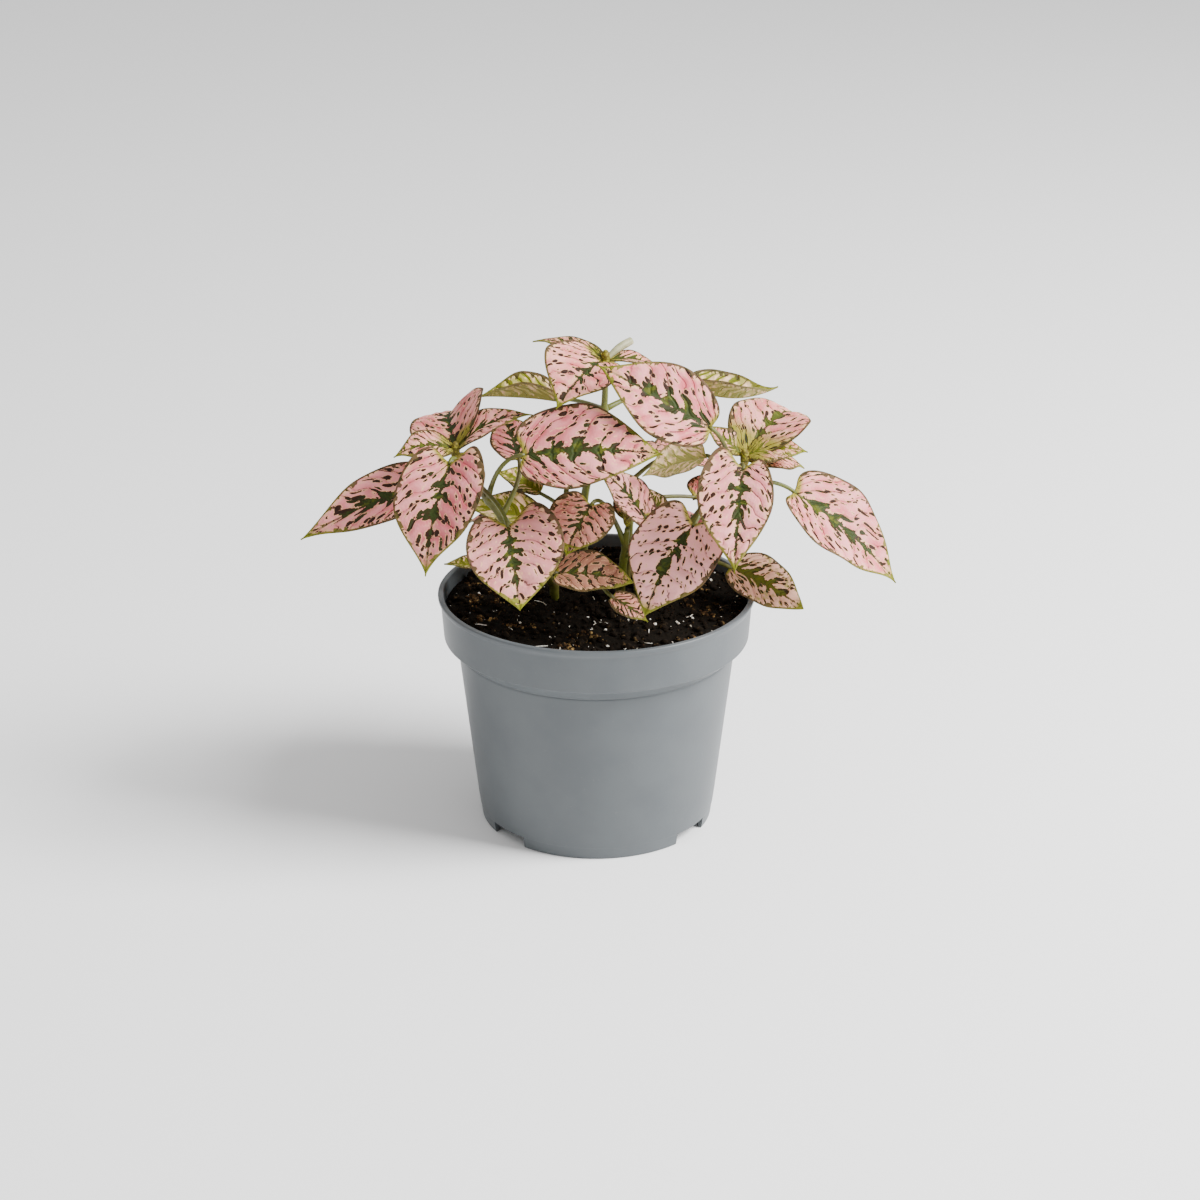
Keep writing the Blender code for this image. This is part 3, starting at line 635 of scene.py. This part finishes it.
def blade(leaf, seed, green, tones=(1.0, 0.0, 0.0), rows=60, around=64):
    """A closed blade. t goes from base to tip and angle goes once round the cross-section.

    s = (1 - cos(pi t)) / 2 is the share of the midrib and v = -cos(angle) the share of the
    half width. x = L (s - lobe (1 - s)^3 |v|^1.6 s / (s + 0.03)), y = half width times v,
    and z = 4 arch L s (1 - s) + cup |y| + ripples at the margin + bumps + swelling between
    the veins - the midrib's groove, with half the blade's thickness added above and taken
    off below. Skew widens the side where v is positive, and its lobe 2.5 times as much."""
    t = np.linspace(0, 1, rows + 1)[:, None]
    s = (1 - np.cos(np.pi * t)) / 2
    angle = np.linspace(0, 2 * np.pi, around, endpoint=False)[None, :]
    v, lift = -np.cos(angle), np.sin(angle)
    half = np.maximum(leaf.width / 2 * half_width(s, leaf.blunt), 0.9 * (1 - s) + 0.2 * s)
    y = half * v * (1 + leaf.skew * np.sign(v))
    lobe = leaf.lobe * (1 + 2.5 * leaf.skew * np.sign(v)) * np.abs(v) ** 1.6
    x = leaf.length * (s - lobe * (1 - s) ** 3 * s / (s + 0.03))
    reach = VEIN_SLANT * np.abs(v) ** 0.95
    row = SIDE_VEINS * (s - reach) / (1 - reach) + 0.35 * uneven(s * 9, v * 3 + 5, 1.0, seed)
    z = 4 * leaf.arch * leaf.length * s * (1 - s) + leaf.cup * np.abs(y)
    z = z + RIPPLE * leaf.width * np.sin(4.6 * np.pi * s + 0.9 * np.sign(v) + leaf.length) \
        * np.abs(v) ** 3 * np.sin(np.pi * s)
    z = z + BUMP * uneven(x + 40, y + 40, BUMP_SPAN, seed + 1)
    window = np.sin(np.pi * np.abs(v)) * np.sin(np.pi * s) ** 0.5
    z = z + SWELLING * leaf.width * (0.5 - 0.5 * np.cos(2 * np.pi * row)) * window
    groove = np.exp(-(y / GROOVE_WIDTH) ** 2)
    z = z - GROOVE * groove * (1 - s)
    thick = BLADE_THICKNESS / 2 * np.sign(lift) * np.abs(lift) ** 0.6
    keel = np.where(lift < 0, -KEEL * groove * (1 - s), 0)
    flat = np.stack(np.broadcast_arrays(x, y, z + thick + keel), axis=-1)
    points = flat @ blade_turn(leaf).T + np.array(leaf.base)
    rim = np.minimum((1 - np.abs(v)) * half, (1 - s) * leaf.length * 0.5)
    upper = np.where(lift > 0.02, UPPER, np.where(lift < -0.02, UNDER, MARGIN))
    fields = {
        "place": (x, y, np.full_like(y, seed * 9.7)),
        "veins": (row, VEIN_STRETCH * np.abs(y), rim),
        "kind": (np.broadcast_to(s, y.shape), upper, np.full_like(y, green)),
        "own": tuple(np.full_like(y, value) for value in tones),
    }
    return closed_skin(points, {key: np.stack(np.broadcast_arrays(*parts), axis=-1)
                                for key, parts in fields.items()})


shares = np.linspace(0, 1, 101)
print("a blade is widest at", shares[half_width(shares, 0.0).argmax()], "of its length")

# %% The grown leaves
blades = []
for stem, leaves in LEAVES.items():
    for _, leaf in leaves:
        key = f"{stem}_{leaf.name}"
        green = GREENNESS.get(key, 0.0)
        # Mark width, brown tone with painted shade, and pale tone with painted light.
        tones = MARKS.get(key, 1.0), BROWN_AND_PAINTED_SHADE.get(key, 0.0), PALE_AND_PAINTED_LIGHT.get(key, 0.0)
        skin = blade(leaf, seed=10 + 2 * len(blades), green=green, tones=tones)
        looks = (green_leaf, "leaf_green") if green >= GREEN_FROM else (pink_leaf, "leaf_pink")
        blades.append(make_piece("blade_" + key, [skin], *looks, "leaf_" + key))
print(len(blades), "blades,", triangles(*blades), "triangles")

# %% [markdown]
# ## Stems and petioles
# A stem is a tube, and so is each petiole, the stalk that a leaf hangs on. The petiole
# leaves the stem along a curve that ends in line with the leaf's midrib, as a stalk under
# load does. Both could be curve objects with a bevel. Carrying the circle along the path by
# hand lets the tube swell at the joints where leaves part from it.

# %% Tubes
def smooth_path(corners, steps):
    """Points on a smooth curve through the corners, steps to each span.

    From corner b to corner c, with a before them and d after them, it is the Catmull-Rom
    curve: half of 2 b + (c - a) t + (2 a - 5 b + 4 c - d) t^2 + (3 b - a - 3 c + d) t^3."""
    corners = np.array(corners, dtype=float)
    ends = np.vstack([2 * corners[:1] - corners[1:2], corners, 2 * corners[-1:] - corners[-2:-1]])
    a, b, c, d = (ends[k:len(ends) - 3 + k, None, :] for k in range(4))
    t = (np.arange(steps) / steps)[None, :, None]
    curve = 0.5 * (2 * b + (c - a) * t + (2 * a - 5 * b + 4 * c - d) * t ** 2
                   + (3 * b - a - 3 * c + d) * t ** 3)
    return np.vstack([curve.reshape(-1, 3), corners[-1:]])


def tube_rings(path, radii, sides):
    """Circles carried along a path, square to it at each point.

    A point is path + radius (cos(angle) side + sin(angle) other), where side and other are
    square to the path and to each other."""
    ahead = np.gradient(path, axis=0)
    ahead /= np.linalg.norm(ahead, axis=1)[:, None]
    guide = np.array((0.0, -1.0, 0.05)) + 0 * ahead
    side = np.cross(guide, ahead)
    side /= np.linalg.norm(side, axis=1)[:, None]
    other = np.cross(ahead, side)
    angle = np.linspace(0, 2 * np.pi, sides, endpoint=False)[None, :, None]
    ring = np.cos(angle) * side[:, None, :] + np.sin(angle) * other[:, None, :]
    return path[:, None, :] + np.asarray(radii)[:, None, None] * ring


def petiole_path(start, leaf, steps=14):
    """A curve from the stem that ends along the midrib: (1-t)^2 A + 2 t (1-t) B + t^2 C."""
    along = blade_turn(leaf) @ np.array((1.0, 0.0, 0.0))
    end = np.array(leaf.base) + along * 0.8
    bend = end - along * np.linalg.norm(end - start) * 0.33
    t = np.linspace(0, 1, steps)[:, None]
    return start * (1 - t) ** 2 + bend * 2 * t * (1 - t) + end * t ** 2


spans = np.diff(smooth_path(STEM_PATHS["crown"], 12), axis=0)
print("the crown's stem is", np.linalg.norm(spans, axis=1).sum().round(1), "mm long")

# %% The stems' finish
STEM_GREEN, STEM_BROWN, STREAK = (0.085, 0.098, 0.006), (0.060, 0.046, 0.009), (0.16, 0.17, 0.018)


def stem_finish():
    """Olive green, browner in patches and lighter along fine length-wise streaks."""
    f = Finish("stem_green", roughness=0.5)
    place = f.node("ShaderNodeTexCoord", {}).outputs["Object"]
    patches = f.noise(place, 90.0, 3.0)
    streaks = f.noise(place, 900.0, 2.0)
    colour = f.mix(f.step(patches, 0.35, 0.65), STEM_GREEN, STEM_BROWN)
    colour = f.mix(f.sum("MULTIPLY", streaks, 0.35), colour, STREAK)
    f.feed(f.shader.inputs["Base Color"], colour)
    f.emboss(streaks, 0.0002)
    return f.material


# %% The stems
STEM_FOOT = 66.0               # where a stem starts, down in the soil
STEM_RADIUS, STEM_TOP_RADIUS = 1.6, 0.9
JOINT_SWELL, JOINT_SHARE = 0.35, 0.02    # the swelling at a joint, and its share of the stem
PETIOLE_RADIUS, PETIOLE_TAPER, PETIOLE_FLARE = 0.78, 0.12, 0.4

stem_green = stem_finish()
stems = []
for name, corners in STEM_PATHS.items():
    x, y, _ = corners[0]
    path = np.vstack([[(x, y, STEM_FOOT)], smooth_path(corners, 12)])
    share = np.linspace(0, 1, len(path))
    radii = STEM_RADIUS + (STEM_TOP_RADIUS - STEM_RADIUS) * share
    for joint, _ in LEAVES[name]:
        radii = radii + JOINT_SWELL * np.exp(-((share - joint) / JOINT_SHARE) ** 2)
    skins = [closed_skin(tube_rings(path, radii, sides=14))]
    for joint, leaf in LEAVES[name]:
        where = 1 + joint * (len(path) - 2)
        k = min(int(where), len(path) - 2)
        start = path[k] + (path[k + 1] - path[k]) * (where - k)
        curve = petiole_path(start, leaf)
        t = np.linspace(0, 1, len(curve))
        thin = PETIOLE_RADIUS - PETIOLE_TAPER * t + PETIOLE_FLARE * (1 - t) ** 8
        skins.append(closed_skin(tube_rings(curve, thin, sides=10)))
    stems.append(make_piece("stalk_" + name, skins, stem_green, "stem_green", "stem_" + name))
print(len(stems), "stems,", triangles(*stems), "triangles")

# %% [markdown]
# ## Young shoots
# At the top of each stem the youngest leaves unfold from a bud. They are the same blades,
# smaller and finer, so the same function makes them. The bud is a small egg of rings. One
# leaf at the crown is still rolled up, so it is a short tube along the line of its midrib.

# %% Buds and the rolled leaf
BUD_RADIUS, BUD_HALF_HEIGHT = 1.5, 3.2
ROLL_BOW = 0.6                 # how far the rolled leaf rises in its middle
ROLL_GREEN, ROLL_WHITE = (0.17, 0.19, 0.06), (0.50, 0.46, 0.30)


def egg(centre, radius, height, sides=16, rings=10):
    """A closed egg: circles of radius r sin(u)^0.8 at height h cos(u), u from 0 to pi.

    Its fields say the base of a leaf all over, where the leaf finish is yellow green."""
    u = np.linspace(0.12, np.pi - 0.12, rings)[:, None]
    angle = np.linspace(0, 2 * np.pi, sides, endpoint=False)[None, :]
    wide = radius * np.sin(u) ** 0.8
    points = np.stack([wide * np.cos(angle), wide * np.sin(angle),
                       height * np.cos(u) + 0 * angle], axis=-1) + np.array(centre)
    still = np.zeros_like(points)
    fields = {"own": still + (1.0, 0.0, 0.0), "place": points,
              "veins": still + (0.5, 1.0, 5.0), "kind": still + (0.0, 1.0, 0.6)}
    return closed_skin(points, fields)


def roll(leaf, sides=14):
    """A rolled leaf: circles of radius 0.6 + 0.75 sin(u) along its midrib, u from 0.1 to 2.1."""
    start = np.array(leaf.base)
    end = start + blade_turn(leaf) @ np.array((leaf.length, 0.0, 0.0))
    path = smooth_path([start, (start + end) / 2 + (0, 0, ROLL_BOW), end], 8)
    radii = 0.6 + 0.75 * np.sin(np.linspace(0.1, 2.1, len(path)))
    return closed_skin(tube_rings(path, radii, sides))


def rolled_finish():
    """Pale green, nearly white in streaks."""
    f = Finish("leaf_rolled", roughness=0.5)
    place = f.node("ShaderNodeTexCoord", {}).outputs["Object"]
    f.feed(f.shader.inputs["Base Color"], f.mix(f.noise(place, 700.0), ROLL_GREEN, ROLL_WHITE))
    return f.material


# %% The young shoots
# How far each young leaf is a net of lines on green-gold (1) or spotted as grown ones are (0).
NETTED = {"crown_a": 0.4, "crown_b": 0.0, "left_a": 0.1, "left_b": 0.2, "left_c": 0.35,
          "right_a": 0.35, "right_b": 0.5, "right_c": 0.6, "right_d": 0.4}
NETTED_ELSEWHERE = 0.3
ROLLED_LEAF = "crown_c"

shoots = []
for name, (centre, leaves) in TIPS.items():
    skins = [egg(centre, BUD_RADIUS, BUD_HALF_HEIGHT)]
    for leaf in leaves:
        key = f"{name}_{leaf.name}"
        if key == ROLLED_LEAF:
            rolled = roll(leaf)
            continue
        seed = 200 + 7 * len(shoots) + ord(leaf.name)
        skins.append(blade(leaf, seed, NETTED.get(key, NETTED_ELSEWHERE), rows=44, around=48))
    shoots.append(make_piece("shoot_" + name, skins, young_leaf, "leaf_young", "tip_" + name))
rolled_leaf = make_piece("rolled_leaf", [rolled], rolled_finish(), "leaf_young", "tip_crown")
print(len(shoots), "shoots and a rolled leaf,", triangles(*shoots, rolled_leaf), "triangles")

# %% [markdown]
# ## Pot
# The pot is moulded in thin plastic: a tapered body, a step out to a collar, and a small
# lip. All of it is round, so its outline is drawn once as a few corners, the corners are
# rounded, and the outline is turned about the middle. A shallow groove under the collar
# catches the light as the real step does. The notches in the foot and the drain holes in
# the base are then cut out with one Boolean.

# %% Turned outlines
def rounded(corners, radius, steps=5):
    """The outline with each corner but the two ends replaced by an arc-like curve.

    Near a corner B the curve is (1-t)^2 P + 2 t (1-t) B + t^2 Q, with P and Q on the two
    sides at most radius from B."""
    corners = np.array(corners, dtype=float)
    outline = [corners[:1]]
    t = np.linspace(0, 1, steps)[:, None]
    for a, b, c in zip(corners, corners[1:], corners[2:]):
        before, behind = np.linalg.norm(a - b), np.linalg.norm(c - b)
        p = b + (a - b) * min(radius / before, 0.45)
        q = b + (c - b) * min(radius / behind, 0.45)
        outline.append(p * (1 - t) ** 2 + 2 * b * t * (1 - t) + q * t ** 2)
    return np.vstack([*outline, corners[-1:]])


def turned(outline, sides):
    """The outline turned once about Z: (radius cos(angle), radius sin(angle), height)."""
    angle = np.linspace(0, 2 * np.pi, sides, endpoint=False)[None, :]
    radius, height = outline[:, :1], outline[:, 1:]
    return np.stack([radius * np.cos(angle), radius * np.sin(angle), height + 0 * angle], axis=-1)


def cut_away(piece, skins):
    """Cut closed skins out of a piece, with one Boolean, and keep the result as its mesh."""
    cutters = bpy.data.collections.new("cutters")
    bpy.context.scene.collection.children.link(cutters)
    for skin in skins:
        mesh = bpy.data.meshes.new("cutter")
        mesh.from_pydata((skin.points * MM).tolist(), [], skin.quads.tolist() + skin.fans.tolist())
        cutters.objects.link(bpy.data.objects.new("cutter", mesh))
    cut = piece.modifiers.new("cut", "BOOLEAN")
    cut.operand_type = "COLLECTION"
    cut.collection = cutters
    cut.solver = "EXACT"
    bpy.context.view_layer.update()
    evaluated = piece.evaluated_get(bpy.context.evaluated_depsgraph_get())
    result = bpy.data.meshes.new_from_object(evaluated)
    piece.modifiers.clear()
    piece.data = result
    for cutter in list(cutters.objects):
        bpy.data.objects.remove(cutter, do_unlink=True)
    bpy.data.collections.remove(cutters)


# %% The pot's finish
POT_GREY, POT_HAZE, POT_DUST = (0.080, 0.090, 0.097), (0.092, 0.103, 0.109), (0.42, 0.40, 0.38)


def pot_finish():
    """Grey moulded plastic: a soft haze, a few pale specks and a dull sheen."""
    f = Finish("pot_plastic", roughness=0.42, specular=0.4)
    place = f.node("ShaderNodeTexCoord", {}).outputs["Object"]
    haze = f.noise(place, 60.0, 4.0)
    dust = f.noise(place, 900.0, 3.0)
    colour = f.mix(f.step(haze, 0.3, 0.7), POT_GREY, POT_HAZE)
    colour = f.mix(f.sum("MULTIPLY", f.step(dust, 0.66, 0.76), 0.04), colour, POT_DUST)
    f.feed(f.shader.inputs["Base Color"], colour)
    f.feed(f.shader.inputs["Roughness"], f.sum("MULTIPLY_ADD", haze, 0.12, 0.36))
    f.emboss(dust, 0.00002)
    return f.material


# %% The pot
POT_HEIGHT, FOOT_RADIUS = 80.0, 38.9
MIDDLE = 0.5                   # an outline's ends stay this far from the axis
PLATE_BOTTOM, PLATE_TOP = 4.8, 5.8
NOTCH_TURNS = -49, 54, 131, -126         # degrees round from the front
NOTCH_LOW, NOTCH_HIGH = (-7.5, -43.0, -2.0), (7.5, -35.0, 4.0)
HOLES, HOLE_CIRCLE, HOLE_RADIUS = 6, 24.0, 3.5

underside = [(MIDDLE, PLATE_BOTTOM), (FOOT_RADIUS - 1.6, PLATE_BOTTOM), (FOOT_RADIUS - 1.4, 0)]
outside = [(FOOT_RADIUS, 0), (39.4, 4.0), (39.6, 4.4), (40.2, 9), (46.05, 60.4),
           (45.8, 60.9), (46.6, 61.7), (50.1, 64.7), (50.7, 65.2), (50.76, 66.0),
           (51.6, 77.5), (52.5, 78.8), (52.5, POT_HEIGHT)]
inside = [(50.6, POT_HEIGHT), (49.7, 66.0), (45.3, 62.1), (39.3, 9.2), (38.8, PLATE_TOP),
          (MIDDLE, PLATE_TOP)]
pot_outline = rounded(underside + outside + inside, radius=0.6)
pot = make_piece("nursery_pot", [closed_skin(turned(pot_outline, 192))], pot_finish(),
                 "pot_plastic", "pot")

cutters = []
(left, front, bottom), (right, back, top) = NOTCH_LOW, NOTCH_HIGH
across = np.array([(left, front), (right, front), (right, back), (left, back)])
block = np.stack([np.c_[across, np.full(4, z)] for z in (bottom, top)])
for degrees in NOTCH_TURNS:
    spin = np.array(Matrix.Rotation(math.radians(degrees), 3, "Z"))
    cutters.append(closed_skin(block @ spin.T))
for k in range(HOLES):
    angle = 2 * math.pi * k / HOLES
    centre = HOLE_CIRCLE * math.cos(angle), HOLE_CIRCLE * math.sin(angle)
    drill = np.array([(*centre, PLATE_BOTTOM - 2), (*centre, PLATE_TOP + 2)])
    cutters.append(closed_skin(tube_rings(drill, [HOLE_RADIUS, HOLE_RADIUS], 24)))
cut_away(pot, cutters)
pot.data.shade_smooth()
pot.data.set_sharp_from_angle(angle=math.radians(40))
pot_low, pot_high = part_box("pot")
print("pot", triangles(pot), "triangles; the solid is", round((pot_high[2] - pot_low[2]) / MM, 1),
      "mm high and the outline", POT_HEIGHT)

# %% [markdown]
# ## Soil
# Potting soil is peat with crumbs, brown clods, bark fibres and white grains in it. A bump
# in the finish could draw all that on a flat disc, but from the side the disc would still
# be flat. So the mass is one turned solid whose top is made uneven at three sizes. Crumbs
# and grains are separate small stones strewn over it, each a little ball of few faces
# pushed out of round. Clods are stones that lie together, and fibres are thin bent tubes.

# %% Soil mass
SOIL_LEVEL, SOIL_RADIUS = 76.0, 50.0
SINK, SINK_FROM = 1.0, 46.0    # the top sinks towards the wall, from this radius outwards
PEAT, PEAT_CRUMB = (0.006, 0.0045, 0.003), (0.07, 0.045, 0.02)
TOP_RINGS = 70


def soil_height(x, y):
    """The soil's level, uneven by 0.9, 0.6 and 0.35 mm over nets of 14, 4.5 and 1.7 mm."""
    return SOIL_LEVEL + 0.9 * uneven(x + 90, y + 90, 14.0, 1) \
        + 0.6 * uneven(x + 90, y + 90, 4.5, 2) + 0.35 * uneven(x + 90, y + 90, 1.7, 3)


def soil_finish(name, dark, pale, share):
    """Dark crumbs, with a share of paler ones."""
    f = Finish(name, roughness=0.95, specular=0.05)
    place = f.node("ShaderNodeTexCoord", {}).outputs["Object"]
    crumbs = f.noise(place, 420.0, 4.0)
    lumps = f.noise(place, 90.0, 3.0)
    colour = f.mix(f.step(crumbs, 0.62 - share, 0.78 - share), dark, pale)
    colour = f.mix(f.sum("MULTIPLY", lumps, 0.5), colour, dark)
    f.feed(f.shader.inputs["Base Color"], colour)
    f.emboss(crumbs, 0.0012)
    return f.material


peat = soil_finish("soil_peat", PEAT, PEAT_CRUMB, 0.0)
side_outline = [(MIDDLE, PLATE_TOP + 0.3), (38.5, PLATE_TOP + 0.3), (39.0, 9.2), (45.0, 62.1),
                (49.4, 66.0), (SOIL_RADIUS, SOIL_LEVEL - 1)]
top_outline = np.c_[np.linspace(SOIL_RADIUS, 0.4, TOP_RINGS), np.full(TOP_RINGS, SOIL_LEVEL)]
rings = turned(np.vstack([side_outline, top_outline]), 200)
top = rings[len(side_outline):]
share = np.clip((np.hypot(top[..., 0], top[..., 1]) - SINK_FROM) / (SOIL_RADIUS - SINK_FROM), 0, 1)
top[..., 2] = soil_height(top[..., 0], top[..., 1]) - SINK * share ** 2
soil_mass = make_piece("soil_mass", [closed_skin(rings)], peat, "soil_peat", "soil")
print("soil", triangles(soil_mass), "triangles")


# %% Crumbs, clods, specks and fibres
CLODS_WITHIN = 48.6            # no grain of a clod lies further out


def stones(places, sizes, rng, flat=0.7):
    """Small stones of six sides, lying on the soil at x, y places.

    Each is circles of radius size sin(u) at height flat size cos(u), pushed out of round
    by up to 0.35 of that radius at random, squeezed and leant."""
    skins = []
    for (x, y), size in zip(places, sizes):
        u = np.linspace(0.35, np.pi - 0.35, 4)[:, None]
        angle = np.linspace(0, 2 * np.pi, 6, endpoint=False)[None, :]
        wide = size * np.sin(u) * (1 + 0.35 * rng.uniform(-1, 1, (4, 6)))
        ball = np.stack([wide * np.cos(angle), wide * np.sin(angle) * rng.uniform(0.6, 1),
                         size * flat * np.cos(u) + 0 * angle], axis=-1)
        lean = np.array(Euler(rng.uniform(-0.5, 0.5, 2).tolist() + [x]).to_matrix())
        height = float(soil_height(np.array(x), np.array(y)))
        skins.append(closed_skin(ball @ lean.T + (x, y, height + 0.25 * size)))
    return skins


def strewn(count, small, large, spread, seed):
    """Stones spread evenly over a disc: radius spread sqrt(u), more small ones than large."""
    rng = np.random.default_rng(seed)
    radius = spread * np.sqrt(rng.uniform(0, 1, count))
    around = rng.uniform(0, 2 * np.pi, count)
    places = np.stack([radius * np.cos(around), radius * np.sin(around)], axis=1)
    return stones(places, small + (large - small) * rng.uniform(0, 1, count) ** 3, rng)


def clods(count, grains, spread, seed):
    """Clods of grains lying together, out towards the pot's wall.

    A clod's middle lies at radius spread sqrt(u), u from 0.35 to 1, and its grains lie
    round that by a normal spread of 1.5 mm."""
    rng = np.random.default_rng(seed)
    radius = spread * np.sqrt(rng.uniform(0.35, 1, count))
    around = rng.uniform(0, 2 * np.pi, count)
    middles = np.stack([radius * np.cos(around), radius * np.sin(around)], axis=1)
    places = np.repeat(middles, grains, axis=0) + rng.normal(0, 1.5, (count * grains, 2))
    places *= np.minimum(1, CLODS_WITHIN / np.hypot(*places.T))[:, None]
    return stones(places, rng.uniform(0.35, 0.85, count * grains), rng)


def fibres(count, spread, seed):
    """Short fibres lying on the soil: tubes bent as a parabola, a third of a millimetre
    thick in the middle."""
    rng = np.random.default_rng(seed)
    skins = []
    for _ in range(count):
        radius, around = spread * math.sqrt(rng.uniform(0, 1)), rng.uniform(0, 2 * math.pi)
        heading, length = rng.uniform(0, 2 * math.pi), rng.uniform(2.5, 6.0)
        bend = rng.uniform(-1, 1)
        t = np.linspace(-0.5, 0.5, 6)
        x = radius * math.cos(around) + length * t * math.cos(heading) - bend * t ** 2 * 3
        y = radius * math.sin(around) + length * t * math.sin(heading) + bend * t ** 2 * 3
        path = np.stack([x, y, soil_height(x, y) + 0.35 + rng.uniform(0, 0.8) * (t + 0.5)], axis=1)
        skins.append(closed_skin(tube_rings(path, 0.16 - 0.2 * t ** 2, 5)))
    return skins


# %% What lies on the soil
DARK_CRUMB, LIGHT_CRUMB = (0.008, 0.0055, 0.0035), (0.12, 0.075, 0.03)
BARK, LIGHT_BARK = (0.045, 0.024, 0.011), (0.42, 0.27, 0.10)
GRIT, WHITE_GRIT = (0.42, 0.38, 0.30), (0.80, 0.78, 0.72)

crumb_finish = soil_finish("soil_crumbs", DARK_CRUMB, LIGHT_CRUMB, 0.04)
crumbs = make_piece("soil_crumbs", strewn(1500, 0.35, 1.9, 49.0, seed=5), crumb_finish,
                    "soil_peat", "soil")
clod_finish = soil_finish("soil_clods", BARK, LIGHT_BARK, 0.12)
clod_piece = make_piece("soil_clods", clods(34, 16, 47.0, seed=8), clod_finish,
                        "soil_peat", "soil")
speck_finish = soil_finish("soil_specks", GRIT, WHITE_GRIT, 0.25)
specks = make_piece("soil_specks", strewn(150, 0.18, 0.75, 48.5, seed=12) + fibres(34, 46.0, seed=3),
                    speck_finish, "soil_peat", "soil")
print("crumbs", triangles(crumbs, clod_piece, specks), "triangles")

# %% [markdown]
# ## Studio
# A pale floor, a bright room all round and one large soft lamp above and to the right. The
# lamp makes the soft shadow on the floor to the left and the brighter right half of the
# pot. The camera looks down at the plant through a long lens, so that the pot's sides stay
# nearly straight.

# %% Floor, room and lamp
FLOOR_HALF = 6                 # metres
FLOOR_WHITE, ROOM_STRENGTH = 0.95, 0.8


def stage_finish():
    """A matt, nearly white floor."""
    f = Finish("studio_floor", roughness=0.9, specular=0.1)
    f.shader.inputs["Base Color"].default_value = (FLOOR_WHITE, FLOOR_WHITE, FLOOR_WHITE, 1)
    return f.material


floor_mesh = bpy.data.meshes.new("floor")
floor_corners = [(x * FLOOR_HALF, y * FLOOR_HALF, 0) for x, y in ((-1, -1), (1, -1), (1, 1), (-1, 1))]
floor_mesh.from_pydata(floor_corners, [], [(0, 1, 2, 3)])
floor_mesh.materials.append(stage_finish())
floor = bpy.data.objects.new("floor", floor_mesh)
bpy.context.scene.collection.objects.link(floor)

room = bpy.data.worlds.new("room")
room.use_nodes = True
walls = room.node_tree.nodes["Background"]
walls.inputs["Color"].default_value = (1.0, 1.0, 1.0, 1)
walls.inputs["Strength"].default_value = ROOM_STRENGTH
bpy.context.scene.world = room


def add_lamp(name, place, target, size, power):
    """A square lamp of that size in metres and power in watts, pointing at its target."""
    lamp = bpy.data.lights.new(name, "AREA")
    lamp.size = size
    lamp.energy = power
    holder = bpy.data.objects.new(name, lamp)
    holder.location = place
    holder.rotation_euler = (Vector(target) - Vector(place)).to_track_quat("-Z", "Y").to_euler()
    bpy.context.scene.collection.objects.link(holder)
    return holder


key_lamp = add_lamp("key_lamp", (1.0, -0.25, 1.0), (0, 0, 0.08), 0.7, 58.0)
print("lamp at", [round(c, 2) for c in key_lamp.location], "metres")

# %% Camera
LENS, SENSOR = 83.73, 36.0     # millimetres
LOOK_DOWN, LOOK_RIGHT = 22.45, 0.08      # degrees

camera = bpy.data.cameras.new("camera")
camera.lens = LENS
camera.sensor_width = SENSOR
view = bpy.data.objects.new("camera", camera)
view.location = (0.0, -0.856, 0.430)
view.rotation_euler = (math.radians(90 - LOOK_DOWN), 0.0, math.radians(-LOOK_RIGHT))
bpy.context.scene.collection.objects.link(view)
bpy.context.scene.camera = view
print("the camera takes in", round(2 * math.degrees(math.atan(SENSOR / 2 / LENS)), 1), "degrees")
